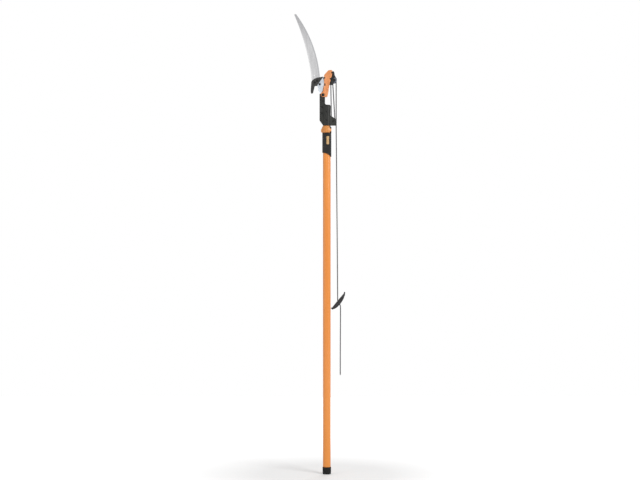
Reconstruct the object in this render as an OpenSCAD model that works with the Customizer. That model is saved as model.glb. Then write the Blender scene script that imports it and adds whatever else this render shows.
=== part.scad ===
// Telescoping tree pruner pole, in millimetres, standing on its end cap with +Z up.
// X points to the rope side and Y to the back, away from the cutting blade.
// The pole is collapsed, both locks are closed and the cutting blade is open.

/* [Pole] */
// Outer pole, across its wide side
pole_w = 37; // [34:0.5:42]
// Outer pole, across its narrow side
pole_d = 30; // [28:0.5:33]
// Outer pole, wall
pole_wall = 2.2; // [1.6:0.1:2.6]
// Outer pole, length
pole_len = 1606; // [1200:2:1800]
// Inner pole, wall
inner_wall = 2; // [1.4:0.1:3]
// Gap all round between the two poles
tube_gap = 0.8; // [0.6:0.1:1.2]
// How far the inner pole slides out
pole_travel = 1350; // [900:150:1350]
// Spacing of the stop holes in the inner pole
stop_pitch = 150; // [75:75:300]
// Slide plug under the inner pole, height of its flange
plug_h = 12; // [8:1:18]

/* [End cap] */
// End cap, wall around the pole
cap_wall = 1.9; // [1.4:0.1:3]
// End cap, floor under the pole
cap_floor = 6; // [4:0.5:10]
// End cap, height
cap_h = 34; // [26:1:45]
// End cap, rounding of its foot
cap_round = 3.5; // [2:0.5:3.5]

/* [Lock] */
// Lock housing, wall around the pole
lock_wall = 3; // [2.5:0.1:3.6]
// Lock housing, height at its long side
lock_h = 116; // [108:1:140]
// Lock housing, how much shorter its other side is
lock_drop = 22; // [14:1:28]
// Radius of the swept lower edge of the lock housing
lock_sweep = 60; // [56:1:80]
// Button housing, how far it stands out at the front
boss_depth = 7; // [6:0.5:10]
// Button housing, width
boss_w = 24; // [22:0.5:28]
// Release button, width
button_w = 12; // [11:0.5:16]
// Release button, height
button_h = 40; // [36:1:44]
// Release button, thickness
button_t = 6; // [5:0.5:7]
// Release button, offset from the middle of the pole
button_x = 4.5; // [0:0.5:5]
// Latch pin behind the release button, diameter
latch_d = 5; // [4:0.5:6]
// Clamp collar, height
collar_h = 34; // [32:1:40]
// Clamp lever, thickness of its shell
clamp_t = 4; // [3:0.5:5]
// Clamp lever, hinge pin diameter
clamp_pin_d = 4; // [3:0.5:4.5]
// Clamp shoe, thickness
shoe_t = 2; // [1.6:0.1:2.4]

/* [Head] */
// Head, wall around the inner pole
head_wall = 2.5; // [2:0.1:3]
// Depth of the socket that takes the inner pole
socket_h = 94; // [84:1:110]
// Neck, width
neck_w = 26; // [25:0.5:29]
// Neck, height above the socket
neck_h = 52; // [46:1:64]
// Neck, thickness from front to back
neck_t = 17.2; // [16.6:0.2:20]
// Pulley ear, height where it leaves the socket
ear_h = 47; // [42:1:56]

/* [Hook and blades] */
// Hook, plate thickness
hook_t = 5; // [4:0.2:5]
// Hook, width of its throat
throat = 29; // [25:1:34]
// Hook, height of its throat above the neck
throat_h = 37; // [35:0.5:40]
// Hook, width of its outer arm
hook_arm = 14.5; // [12:0.5:18]
// Hook, height above the neck
hook_h = 80; // [76:1:86]
// Cutting blade, plate thickness
blade_t = 3; // [2.4:0.1:3]
// Cutting blade, length below its pivot
blade_len = 47; // [43.5:0.5:47.5]
// Cutting blade, width of its ground edge
blade_bevel = 4; // [2:0.5:6]
// Saw blade, length from its heel to its tip
saw_len = 306; // [220:1:360]
// Saw blade, width at its heel
saw_w = 41; // [37:1:42]
// Saw blade, thickness
saw_t = 1.6; // [1.2:0.1:2]
// Saw blade, lean from upright in degrees
saw_lean = 17.5; // [12:0.5:24]
// Saw blade, bow of its toothed edge
saw_bow = 10; // [4:0.5:16]
// Saw blade, tooth spacing
tooth_pitch = 4.2; // [3:0.2:6]
// Saw blade, tooth depth
tooth_depth = 2.6; // [1.6:0.2:3.6]

/* [Lever and link] */
// Power lever, height above the neck
lever_h = 111.5; // [108:0.5:118]
// Power lever, thickness of each cheek
lever_t = 3.5; // [3:0.1:4.5]
// Power lever, thickness of its spine
spine_t = 4; // [3:0.5:5]
// Drive link, thickness
link_t = 2.8; // [2.4:0.1:2.8]
// Drive link, rounding of its ends
link_r = 5.5; // [4.5:0.5:6]
// Drive link pins, diameter
link_pin_d = 6; // [5:0.5:6.5]
// Return spring, wire diameter
spring_wire = 1.4; // [1.2:0.1:1.4]

/* [Pulleys and rope] */
// Pulleys, radius at the middle of the rope
pulley_r = 8.5; // [7.5:0.5:9]
// Pulleys, width
pulley_w = 9; // [8:0.2:9.6]
// Pulley axles, diameter
axle_d = 5; // [4:0.5:6]
// Rope, diameter
rope_d = 5; // [4.4:0.2:5]
// Pull handle, length
handle_len = 100; // [90:2:110]
// Pull handle, width in the middle
handle_w = 20; // [18:1:26]
// Pull handle, thickness in the middle
handle_t = 18; // [15:1:22]

/* [Fasteners] */
// Cutting blade pivot bolt, diameter
pivot_d = 6; // [5:0.5:8]
// Lever pivot bolt, diameter
lever_bolt_d = 6; // [5:0.5:6]
// Lever pivot bush, outer diameter
bush_d = 10; // [9:0.5:11]
// Saw bolts, diameter
saw_bolt_d = 6; // [5:0.5:6]
// Head screws, diameter
screw_d = 4; // [3:0.5:4]
// Pulley bracket bolts, diameter
bracket_bolt_d = 5; // [4:0.5:5]

/* [Fits] */
// Gap around pieces that stay fixed in a seat
seat_gap = 0.05; // [0.02:0.01:0.1]
// Gap around pins that turn
run_gap = 0.06; // [0.02:0.01:0.1]
// Gap between pieces that move past each other
slide_gap = 0.3; // [0.25:0.05:0.4]
// Gap between the flat plates of the cutting head
layer_gap = 0.2; // [0.1:0.05:0.25]
// Gap at the ends of the springs
spring_play = 0.2; // [0.15:0.05:0.25]

/* [Hidden] */
$fn = 64;
// Step of the corner roundings in degrees
arc_step = 9;

// Oval sections: all of them share these centres, so that a section is named by its radius
oval_c = (pole_w - pole_d) / 2;
pole_r = pole_d / 2;
bore_r = pole_r - pole_wall;
inner_r = bore_r - tube_gap;
inner_bore_r = inner_r - inner_wall;
socket_r = inner_r + seat_gap;
sleeve_r = socket_r + head_wall;
cap_r = pole_r + seat_gap + cap_wall;
lock_bore_r = pole_r + seat_gap;
lock_r = lock_bore_r + lock_wall;
guide_r = inner_r + slide_gap;

// Heights up the pole
pole_z = cap_floor;
pole_top = pole_z + pole_len;
lock_top = pole_top + 8;
lock_z = lock_top - lock_h;
lock_screw_z = [lock_z + 34, lock_top - 20];
lock_screw_d = 3;
guide_top = lock_top + 22;
collar_top = lock_top + collar_h;
head_z = collar_top + 0.5;
inner_z = pole_z + 34;
inner_top = head_z + socket_h;

// Release button, rocking on its pin
button_z = lock_top - 36;
button_front = lock_r + boss_depth + 1.2;
button_back = button_front - button_t;
button_pin_y = button_front - 3.5;
button_pin_d = 3;
button_play = 0.4;
// The pin ends half way into the walls beside the button
button_pin_half = (boss_w + button_w + 2 * button_play) / 4;
recess_y = lock_r - 1.5;
latch_z = button_z - 14;
latch_tip = inner_r + slide_gap;
button_spring_z = button_z + 12;
button_seat_y = button_back + 2;
latch_room = 1.7;
thumb_groove = 0.9;
groove_out = 0.3;
groove_pitch = 3;

// Clamp lever, hinged at the front corner beside the rope
hinge_r = lock_r + 2;
hinge = [oval_c + hinge_r * cos(45), -hinge_r * sin(45)];
cam_throw = 0.8;
cam_r = hinge_r - cam_throw - (inner_r + shoe_t + 2 * slide_gap);
cam_at = hinge - cam_throw * [cos(45), -sin(45)];
knuckle_z = lock_top + 7;
knuckle_h = 13;
shoe_z = knuckle_z + 0.5;
shoe_h = knuckle_h - 1;

// Head: heights here are above head_z
sleeve_top = socket_h + 5.5;
neck_x = -(oval_c + socket_r) - 16.45;
neck_left = neck_x - 2.5;
neck_top = sleeve_top + neck_h;
neck_half = neck_t / 2;
lever_in = neck_half + 0.4;
lever_out = lever_in + lever_t;

// Pivots and pins of the cutting head, as [x, height]
lever_pivot = [neck_x + 13.5, neck_top - 6];
blade_pivot = [neck_x - 2, neck_top + 45];
arm = [22, 29];
link_low = lever_pivot + arm;
link_high = blade_pivot + arm;
saw_bolt_at = [[neck_x - 14, neck_top + hook_h - 17.5], [neck_x - 25.5, neck_top + hook_h - 26.5]];
tang_low = 40;
tang_screw_at = [[neck_x + 9, 58], [neck_x + 9, 88], [neck_x + 14, neck_top - 36]];
screw_sink = 2.4;
socket_screw_z = [26, 66];

// Layers of the cutting head from front to back
hook_y = -hook_t / 2;
blade_y = hook_y - layer_gap - blade_t;
link_y = blade_y - layer_gap - link_t;
saw_y = hook_t / 2;

// Rope and pulleys, as [x, height]
rope_r = rope_d / 2;
flange_r = pulley_r + rope_r + 0.5;
groove_r = rope_r + 0.35;
first_x = oval_c + sleeve_r + 1.45 + rope_r;
lower_at = [first_x + pulley_r, pulley_r + 12];
haul_x = lower_at[0] + pulley_r + rope_d + 0.5;
upper_at = [haul_x - pulley_r, lever_pivot[1] + 70];
dead_at = [neck_x + 51, neck_top + 48];
ear_x = haul_x + 1;
ear_in = pulley_w / 2 + 0.4;
bracket_in = pulley_w / 2 + 1;
bracket_top = neck_top + lever_h - 5.5;
bracket_right = neck_x + 67;
bracket_bolt_at = [[neck_x + 57, bracket_top - 6.5], dead_at + [-0.5, 22.5]];
rope_room = 0.8;
knot_rise = 3.4;
hub_r = axle_d / 2 + 3.3;

// Pull handle, hanging aslant on the rope
handle_at = [24, 789];
handle_turn = 50.5;
handle_low = -3.5;
handle_high = handle_len - 9;
handle_crown = 0.8;
nub_r = 3.3;
low_nub = [[-1.2, -6], [-1.7, -0.1]];
high_nub = [[handle_len - 17, -7.4], [handle_len - 5.3, -0.1]];
rope_in = [52.5, 822];
rope_out = [63.5, 801];

// Shape helpers
function unit(v) = v / norm(v);
function short_turn(d) = d > 180 ? d - 360 : (d < -180 ? d + 360 : d);
// Points of one corner [x, y, radius] between its neighbours
function corner(before, at, after) =
    let (
        here = [at[0], at[1]],
        u = unit([before[0], before[1]] - here),
        w = unit([after[0], after[1]] - here),
        half = acos(u * w) / 2,
        centre = here + unit(u + w) * at[2] / sin(half),
        first = here + u * at[2] / tan(half) - centre,
        last = here + w * at[2] / tan(half) - centre,
        start = atan2(first[1], first[0]),
        sweep = short_turn(atan2(last[1], last[0]) - start),
        steps = max(1, ceil(abs(sweep) / arc_step))
    )
    at[2] == 0
        ? [here]
        : [for (i = [0 : steps])
            let (a = start + sweep * i / steps) centre + at[2] * [cos(a), sin(a)]];
// An outline whose corners [x, y, radius] are rounded
function rounded(outline) =
    let (n = len(outline))
    [for (i = [0 : n - 1])
        each corner(outline[(i + n - 1) % n], outline[i], outline[(i + 1) % n])];
// Points of an arc from a to b that stands off its chord to the left by bow
function bowed(a, b, bow, steps) =
    let (
        chord = norm(b - a),
        radius = (chord * chord / 4 + bow * bow) / (2 * bow),
        along = unit(b - a),
        left = [-along[1], along[0]],
        centre = (a + b) / 2 + left * (bow - radius),
        half = asin(chord / 2 / radius)
    )
    [for (i = [0 : steps])
        let (t = -half + 2 * half * i / steps)
        centre + radius * (along * sin(t) + left * cos(t))];
function sharp(points) = [for (p = points) [p[0], p[1], 0]];
function shifted(outline, by) = [for (p = outline) [p[0] + by[0], p[1] + by[1], p[2]]];

// A plate in the X-Z plane, from y towards the back
module plate(y, thickness) {
    translate([0, y + thickness, 0])
        rotate([90, 0, 0])
            linear_extrude(thickness)
                children();
}
// A round bar along Y at [x, height], from y towards the back
module cross_bar(at, y, length, radius) {
    translate([at[0], y, at[1]])
        rotate([-90, 0, 0])
            cylinder(h = length, r = radius);
}
// A profile [distance, height] carried round the oval
module oval_sweep() {
    for (side = [0, 180])
        rotate([0, 0, side])
            translate([oval_c, 0, 0])
                rotate([0, 0, -90])
                    rotate_extrude(angle = 180)
                        children();
    for (side = [0, 180])
        rotate([0, 0, side])
            translate([-oval_c, 0, 0])
                rotate([90, 0, 90])
                    linear_extrude(2 * oval_c)
                        children();
}
module oval_bar(z, height, radius) {
    translate([0, 0, z])
        oval_sweep()
            square([radius, height]);
}
module oval_tube(z, height, outer, inner) {
    translate([0, 0, z])
        oval_sweep()
            translate([inner, 0])
                square([outer - inner, height]);
}
module at_head() {
    translate([0, 0, head_z])
        children();
}
// A solid skin over rings of points, closed at both ends
module skin(rings) {
    n = len(rings);
    m = len(rings[0]);
    polyhedron(
        points = [for (r = rings) each r],
        faces = concat(
            [[for (j = [m - 1 : -1 : 0]) j]],
            [[for (j = [0 : m - 1]) (n - 1) * m + j]],
            [for (i = [0 : n - 2], j = [0 : m - 1])
                [i * m + j, i * m + (j + 1) % m, (i + 1) * m + (j + 1) % m]],
            [for (i = [0 : n - 2], j = [0 : m - 1])
                [i * m + j, (i + 1) * m + (j + 1) % m, (i + 1) * m + j]]
        )
    );
}
// Rings of a round tube along a path, set square to it and to the given normal
function tube_rings(path, radius, normal, sides) =
    let (n = len(path))
    [for (i = [0 : n - 1])
        let (
            ahead = unit(path[min(i + 1, n - 1)] - path[max(i - 1, 0)]),
            side = unit(cross(ahead, normal)),
            up = cross(side, ahead)
        )
        [for (j = [0 : sides - 1])
            path[i] + radius * (cos(360 * j / sides) * side + sin(360 * j / sides) * up)]];
// A coil along Y about its own axis, with straight ends before and after its turns
function coil_path(radius, first, sweep, rise, steps, lead, tail) =
    let (
        turn = [for (i = [0 : steps])
            let (a = first + sweep * i / steps)
            [radius * cos(a), rise * i / steps, radius * sin(a)]],
        into = [-sin(first), 0, cos(first)],
        out = [-sin(first + sweep), 0, cos(first + sweep)]
    )
    concat(
        lead > 0 ? [turn[0] - lead * into] : [],
        turn,
        tail > 0 ? [turn[steps] + tail * out] : []
    );
// Least gap between the turns of a coiled wire, over points that lie half a turn apart or more
function coil_gap(path, wire, turn) =
    min([for (i = [0 : len(path) - 1], j = [i + turn / 2 : len(path) - 1])
        norm(path[i] - path[j])]) - wire;
module hex(at, y, length, radius) {
    translate([at[0], y, at[1]])
        rotate([-90, 0, 0])
            cylinder(h = length, r = radius, $fn = 6);
}
// A domed head that stands out to the front (side -1) or the back (side 1) of y
module dome(at, y, height, radius, side) {
    translate([at[0], y, at[1]])
        rotate([-90 * side, 0, 0])
            rotate_extrude()
                polygon(rounded([[0, 0, 0], [radius, 0, 0], [radius * 0.93, height, height * 0.8],
                    [0, height, 0]]));
}

// Outer pole and its end
module outer_pole() {
    color([0.92, 0.45, 0.12])
        difference() {
            oval_tube(pole_z, pole_len, pole_r, bore_r);
            cross_bar([button_x, latch_z - 0.6], -pole_r - 5, pole_r, latch_d / 2 + latch_room);
            lock_screw_cut();
        }
}
module end_cap() {
    color([0.06, 0.06, 0.07])
        difference() {
            oval_sweep()
                polygon(rounded([[0, 0, 0], [cap_r - 0.6, 0, cap_round], [cap_r, cap_h, 1],
                    [0, cap_h, 0]]));
            oval_bar(cap_floor, cap_h, pole_r + seat_gap);
        }
}

// Lock on the top of the outer pole
module lock_screw_cut() {
    for (z = lock_screw_z)
        translate([0, 0, z])
            rotate([-90, 0, 0])
                cylinder(h = lock_r + 5, r = lock_screw_d / 2 + seat_gap);
}
module lock_screws() {
    color([0.55, 0.55, 0.57])
        for (z = lock_screw_z) {
            translate([0, bore_r + slide_gap, z])
                rotate([-90, 0, 0])
                    cylinder(h = lock_r - bore_r - slide_gap, r = lock_screw_d / 2);
            dome([0, z], lock_r, 2, lock_screw_d, 1);
        }
}
module button_boss() {
    intersection() {
        translate([0, 0, lock_z])
            linear_extrude(lock_h)
                polygon(rounded([[button_x - boss_w / 2, -4, 0],
                    [button_x - boss_w / 2, -lock_r - boss_depth, 4],
                    [button_x + boss_w / 2, -lock_r - boss_depth, 4],
                    [button_x + boss_w / 2, -4, 0]]));
        translate([button_x - boss_w / 2 - 1, 0, 0])
            rotate([90, 0, 90])
                linear_extrude(boss_w + 2)
                    polygon(rounded([[-4, lock_top - 1, 0],
                        [-lock_r - boss_depth, lock_top - 3, 5],
                        [-lock_r - boss_depth, button_z - button_h / 2 - 8, 8],
                        [-lock_r + 3, lock_z + 30, 0],
                        [-4, lock_z + 30, 0]]));
    }
}
module lock_housing() {
    color([0.07, 0.07, 0.08])
        difference() {
            union() {
                oval_bar(lock_z, lock_h, lock_r);
                button_boss();
            }
            oval_bar(lock_z - 1, lock_h + 2, lock_bore_r);
            cross_bar([-oval_c - lock_r - 2.5, lock_z + lock_drop - lock_sweep],
                -60, 120, lock_sweep);
            translate([button_x - button_w / 2 - button_play, -60,
                button_z - button_h / 2 - button_play])
                cube([button_w + 2 * button_play, 60 - recess_y, button_h + 2 * button_play]);
            cross_bar([button_x, latch_z - 0.6], -pole_r - 8, 10, latch_d / 2 + latch_room);
            translate([button_x - button_pin_half, -button_pin_y, button_z])
                rotate([0, 90, 0])
                    cylinder(h = 2 * button_pin_half, r = button_pin_d / 2 + seat_gap);
            lock_screw_cut();
        }
}
module clamp_collar() {
    color([0.07, 0.07, 0.08])
        difference() {
            union() {
                translate([0, 0, lock_top])
                    oval_sweep()
                        polygon(rounded([[0, 0, 0], [lock_r, 0, 0], [lock_r, 21, 6],
                            [inner_r + 2, collar_h, 1], [0, collar_h, 0]]));
                translate([hinge[0], hinge[1], lock_top])
                    cylinder(h = knuckle_z + knuckle_h + 6 - lock_top, r = cam_r - 0.2);
            }
            oval_bar(lock_top - 1, guide_top - lock_top + 1, lock_bore_r);
            oval_bar(lock_top, collar_h + 1, guide_r + 0.3);
            translate([hinge[0], hinge[1], knuckle_z - slide_gap])
                cylinder(h = knuckle_h + 2 * slide_gap, r = cam_r + cam_throw + 0.6);
            translate([hinge[0], hinge[1], lock_top + 2])
                cylinder(h = collar_h, r = clamp_pin_d / 2 + seat_gap);
            intersection() {
                translate([oval_c, 0, shoe_z - slide_gap])
                    cylinder(h = shoe_h + 2 * slide_gap,
                        r = inner_r + shoe_t + cam_throw + 2 * slide_gap);
                shoe_wedge(shoe_z - slide_gap, shoe_h + 2 * slide_gap, 23);
            }
        }
}
module guide_sleeve() {
    color([0.75, 0.75, 0.73])
        difference() {
            oval_tube(pole_top, guide_top - pole_top, pole_r, guide_r);
            shoe_wedge(shoe_z - slide_gap, shoe_h + 2 * slide_gap, 23);
            translate([hinge[0], hinge[1], knuckle_z - slide_gap])
                cylinder(h = knuckle_h + 2 * slide_gap, r = cam_r + cam_throw + 0.6);
        }
}
module shoe_wedge(z, height, half) {
    translate([oval_c, 0, z])
        linear_extrude(height)
            polygon([[0, 0], 40 * [cos(-45 - half), sin(-45 - half)],
                40 * [cos(-45 + half), sin(-45 + half)]]);
}
module clamp_shoe() {
    color([0.2, 0.2, 0.21])
        intersection() {
            translate([oval_c, 0, shoe_z])
                difference() {
                    cylinder(h = shoe_h, r = inner_r + slide_gap + shoe_t);
                    translate([0, 0, -1])
                        cylinder(h = shoe_h + 2, r = inner_r + slide_gap);
                }
            shoe_wedge(shoe_z, shoe_h, 20);
        }
}
module clamp_pin() {
    color([0.6, 0.6, 0.62])
        translate([hinge[0], hinge[1], lock_top + 2])
            cylinder(h = knuckle_z + knuckle_h + 6 - lock_top - 2, r = clamp_pin_d / 2);
}
module clamp_lever() {
    shell_r = lock_r + 0.4;
    color([0.9, 0.46, 0.16])
        difference() {
            union() {
                intersection() {
                    translate([0, 0, lock_top])
                        oval_sweep()
                            polygon(rounded([[shell_r, 0.5, 0], [shell_r + clamp_t - 0.8, 0.5, 1.5],
                                [shell_r + clamp_t + 0.6, 11, 12], [shell_r + clamp_t - 1, 22, 8],
                                [inner_r + 4.5, collar_h - 0.3, 1.5],
                                [inner_r + 2.6, collar_h - 0.3, 0], [shell_r, 21.2, 6]]));
                    translate([0, 0, lock_top - 1])
                        linear_extrude(collar_h + 2)
                            polygon([[-60, -6], [oval_c + 6, -6], [oval_c + 60, -60], [-60, -60]]);
                }
                translate([cam_at[0], cam_at[1], knuckle_z])
                    cylinder(h = knuckle_h, r = cam_r);
                clamp_tab();
            }
            translate([hinge[0], hinge[1], lock_top - 1])
                cylinder(h = collar_h + 2, r = clamp_pin_d / 2 + run_gap);
            for (z = [lock_top - 1, knuckle_z + knuckle_h])
                translate([hinge[0], hinge[1], z])
                    cylinder(h = z < knuckle_z ? knuckle_z - lock_top + 1 : collar_h, r = cam_r + 0.5);
        }
}
// Finger tab at the free end of the clamp lever
module clamp_tab() {
    tab_x = -oval_c - lock_r - 0.4 - clamp_t;
    translate([0, 0, lock_top + 3])
        linear_extrude(15)
            polygon(rounded([[tab_x + 2.6, -6, 0], [tab_x - 1.6, -6, 1], [tab_x - 1.6, -11, 2],
                [tab_x + 4.5, -13, 0]]));
}
module button_pin() {
    color([0.6, 0.6, 0.62])
        translate([button_x - button_pin_half, -button_pin_y, button_z])
            rotate([0, 90, 0])
                cylinder(h = 2 * button_pin_half, r = button_pin_d / 2);
}
module release_button() {
    color([0.93, 0.6, 0.28])
        difference() {
            translate([button_x - button_w / 2, 0, button_z])
                rotate([90, 0, 90])
                    linear_extrude(button_w)
                        polygon(rounded([[-button_back, -button_h / 2, 0],
                            [-button_back, button_h / 2, 0],
                            [-button_front + 2.2, button_h / 2, 3],
                            [-button_front, button_h / 4, 12],
                            [-button_front, -button_h / 4, 12],
                            [-button_front + 2.2, -button_h / 2, 3]]));
            translate([button_x - button_w, -button_pin_y, button_z])
                rotate([0, 90, 0])
                    cylinder(h = 2 * button_w, r = button_pin_d / 2 + run_gap);
            cross_bar([button_x, latch_z], -button_seat_y, 10, latch_d / 2 + seat_gap);
            cross_bar([button_x, button_spring_z], -button_seat_y, 10,
                button_coil_r + button_wire / 2 + 0.6);
            for (i = [-2 : 2])
                translate([button_x - button_w, -button_front - groove_out, button_z + i * groove_pitch])
                    rotate([0, 90, 0])
                        cylinder(h = 2 * button_w, r = thumb_groove);
        }
}
module latch_pin() {
    color([0.6, 0.6, 0.62])
        cross_bar([button_x, latch_z], -button_seat_y, button_seat_y - latch_tip, latch_d / 2);
}
// Button spring: three turns between the button and the floor of its recess
button_wire = 0.8;
button_coil_r = 2.8;
button_coil = coil_path(button_coil_r, 0, 360 * 3,
    button_seat_y - recess_y - button_wire - 2 * spring_play, 24, 0, 0);
echo(button_spring_gap = coil_gap(button_coil, button_wire, 8));
module button_spring() {
    color([0.6, 0.6, 0.62])
        translate([button_x, -button_seat_y + button_wire / 2 + spring_play, button_spring_z])
            skin(tube_rings(button_coil, button_wire / 2, [0, 1, 0], 6));
}

// Inner pole
module inner_pole() {
    color([0.08, 0.08, 0.09])
        difference() {
            oval_tube(inner_z, inner_top - inner_z, inner_r, inner_bore_r);
            for (i = [1 : floor(pole_travel / stop_pitch)])
                cross_bar([button_x, latch_z - i * stop_pitch], -inner_r - 5, inner_r,
                    latch_d / 2 + 0.5);
            at_head()
                socket_screw_cut();
        }
}
module slide_plug() {
    color([0.75, 0.75, 0.73]) {
        oval_bar(inner_z - plug_h, plug_h, bore_r - slide_gap);
        oval_tube(inner_z, 24, inner_bore_r - seat_gap, inner_bore_r - 2.4);
    }
}

// Head that joins the inner pole, the hook and the pulley ear
module head_solid() {
    oval_sweep()
        polygon(rounded([[0, 0, 0], [sleeve_r, 0, 1], [sleeve_r, sleeve_top, 7],
            [0, sleeve_top, 0]]));
    plate(-neck_half, neck_t)
        polygon(rounded([[-6, 0, 0], [neck_x + 15.5, 0, 2], [neck_left, 25, 6],
            [neck_left, neck_top, 4], [neck_left + neck_w, neck_top, 4],
            [neck_left + neck_w, sleeve_top + 3, 8], [6, sleeve_top - 4, 0], [6, 20, 0]]));
    plate(-neck_half, neck_t)
        polygon(rounded([[4, 0.5, 0], [ear_x, 0.5, 4], [ear_x, ear_h - 18, 5],
            [oval_c + sleeve_r + 1, ear_h, 3], [4, ear_h + 6, 0]]));
}
module head_cuts() {
    oval_bar(-1, socket_h + 1, socket_r);
    plate(-hook_t / 2, hook_t)
        polygon(rounded(concat(tang(),
            [[neck_x + 19.5, neck_top + 6, 0], [neck_x + 4, neck_top + 6, 0]])));
    translate([first_x - rope_r - 0.5, -ear_in, -1])
        cube([60, 2 * ear_in, ear_h + 20]);
    cross_bar(lower_at, -neck_half - 1, neck_t + 2, axle_d / 2 + seat_gap);
    cross_bar(lever_pivot, -neck_half - 1, neck_t + 2, bush_d / 2 + seat_gap);
    cross_bar(blade_pivot, blade_y - slide_gap, hook_y - blade_y + slide_gap,
        norm(blade_tip - blade_pivot) + 2 * slide_gap);
    cross_bar(lever_pivot, hook_t / 2, neck_half, spring_r + spring_wire / 2 + 2.5);
    translate([lever_pivot[0] + spring_r - spring_wire / 2 - slide_gap, hook_t / 2,
        lever_pivot[1] - spring_foot - 8])
        cube([20, neck_half, spring_foot + 8]);
    for (p = tang_screw_at) {
        cross_bar(p, -neck_half - 1, neck_t + 2, screw_d / 2 + seat_gap);
        cross_bar(p, -neck_half - 1, 1 + screw_sink, screw_d + 0.3);
    }
    socket_screw_cut();
}
module socket_screw_cut() {
    for (z = socket_screw_z)
        cross_bar([0, z], -sleeve_r - 2, 2 * sleeve_r + 4, screw_d / 2 + seat_gap);
}
module head_front() {
    color([0.07, 0.07, 0.08])
        at_head()
            difference() {
                head_solid();
                head_cuts();
                translate([-100, 0, -10])
                    cube([200, 60, 300]);
            }
}
module head_rear() {
    color([0.07, 0.07, 0.08])
        at_head()
            difference() {
                head_solid();
                head_cuts();
                translate([-100, -60, -10])
                    cube([200, 60, 300]);
            }
}
module head_screws() {
    color([0.3, 0.3, 0.31])
        at_head()
            for (p = tang_screw_at) {
                cross_bar(p, -neck_half + screw_sink, neck_t - screw_sink, screw_d / 2);
                dome(p, -neck_half + screw_sink, 2.2, screw_d, -1);
                hex(p, neck_half, 2.6, screw_d);
            }
}
module socket_screws() {
    color([0.3, 0.3, 0.31])
        at_head()
            for (z = socket_screw_z) {
                cross_bar([0, z], -sleeve_r, 2 * sleeve_r, screw_d / 2);
                dome([0, z], -sleeve_r, 2, screw_d * 0.9, -1);
                dome([0, z], sleeve_r, 2, screw_d * 0.9, 1);
            }
}

// Hook, whose tang runs down inside the head
function tang() = [[neck_x + 4, tang_low, 1.5], [neck_x + 13.2, tang_low, 1.5],
    [neck_x + 13.2, sleeve_top + 2, 3], [neck_x + 19.5, sleeve_top + 9, 3]];
function hook_outline() =
    let (x = neck_x, z = neck_top, gape = neck_x + 1 - throat)
    concat(
        tang(),
        [[x + 19.5, z + 8, 8], [x + 16, z + hook_h - 28, 12], [x + 15, z + hook_h + 1.5, 2.5],
            [x - 17, z + hook_h - 4, 20], [x - 33, z + hook_h - 12.5, 10],
            [gape - hook_arm + 0.8, z + throat_h + 20.5, 8], [gape - hook_arm - 2, z + 14, 8],
            [gape - hook_arm - 0.5, z + 1, 3], [gape - 6, z + 1.5, 4],
            [gape - 0.8, z + throat_h - 17, 14], [gape + 3, z + throat_h, 5],
            [x - 8, z + throat_h, 4], [x - 9, z + throat_h - 11, 6],
            [x + 1.5, z + throat_h - 17, 8], [x + 4, z + 4, 6]]);
module hook() {
    color([0.1, 0.1, 0.11])
        at_head()
            difference() {
                plate(hook_y, hook_t)
                    polygon(rounded(hook_outline()));
                cross_bar(lever_pivot, -10, 20, bush_d / 2 + seat_gap);
                cross_bar(blade_pivot, -10, 20, pivot_d / 2 + seat_gap);
                for (p = saw_bolt_at)
                    cross_bar(p, -10, 20, saw_bolt_d / 2 + seat_gap);
                for (p = tang_screw_at)
                    cross_bar(p, -10, 20, screw_d / 2 + seat_gap);
            }
}

// Saw blade behind the hook: its heel sits on the hook and its teeth face the hooked side
saw_heel = [neck_x - 22, neck_top + hook_h + 7];
saw_tip = saw_heel + saw_len * [-sin(saw_lean), cos(saw_lean)];
washer_t = 1.2;
saw_hole_d = 5;
saw_end = [10.5, 1.3];
saw_back_low = saw_heel + [saw_w / 2, 0];
saw_tooth_low = saw_heel - [saw_w / 2, 0];
function saw_teeth() =
    let (
        tip = saw_tip - saw_end,
        count = floor(norm(saw_tooth_low - tip) / tooth_pitch),
        edge = bowed(tip, saw_tooth_low, saw_bow, 2 * count),
        away = unit([cos(saw_lean), sin(saw_lean)])
    )
    [for (i = [0 : 2 * count])
        let (in = (i % 2 == 1 && i < 2 * count - 3) ? tooth_depth : 0)
        edge[i] + in * away];
function saw_outline() = concat(
    sharp(saw_teeth()),
    [[neck_x - 39.5, saw_heel[1] - 27, 8], [neck_x - 35, saw_heel[1] - 48, 6],
        [neck_x - 19, saw_heel[1] - 49, 5], [neck_x - 4, saw_heel[1] - 29, 8]],
    sharp(bowed(saw_back_low, saw_tip, -2.15 * saw_bow, 24)));
module saw_blade() {
    color([0.78, 0.78, 0.79])
        at_head()
            difference() {
                plate(saw_y, saw_t)
                    polygon(rounded(saw_outline()));
                for (p = saw_bolt_at)
                    cross_bar(p, -10, 20, saw_bolt_d / 2 + seat_gap);
                cross_bar(saw_heel + [-6, 1], -10, 20, saw_hole_d / 2);
            }
}
module saw_bolts() {
    color([0.12, 0.12, 0.13])
        at_head()
            for (p = saw_bolt_at) {
                cross_bar(p, hook_y, hook_t + saw_t + washer_t + 7.5, saw_bolt_d / 2);
                dome(p, hook_y, 3, saw_bolt_d * 0.9, -1);
            }
}
module saw_washers() {
    color([0.6, 0.6, 0.62])
        at_head()
            for (p = saw_bolt_at)
                difference() {
                    cross_bar(p, saw_y + saw_t, washer_t, saw_bolt_d);
                    cross_bar(p, saw_y, 9, saw_bolt_d / 2 + seat_gap);
                }
}
module wing() {
    translate([0, 0, -1.1])
        linear_extrude(2.2)
            polygon(rounded([[0.5, 0.3, 0], [6, 0.6, 2], [11.5, 5, 3], [11, 10, 2.4],
                [7.4, 8.8, 2], [4.6, 5.6, 2], [0.5, 5.6, 0]]));
}
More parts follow.
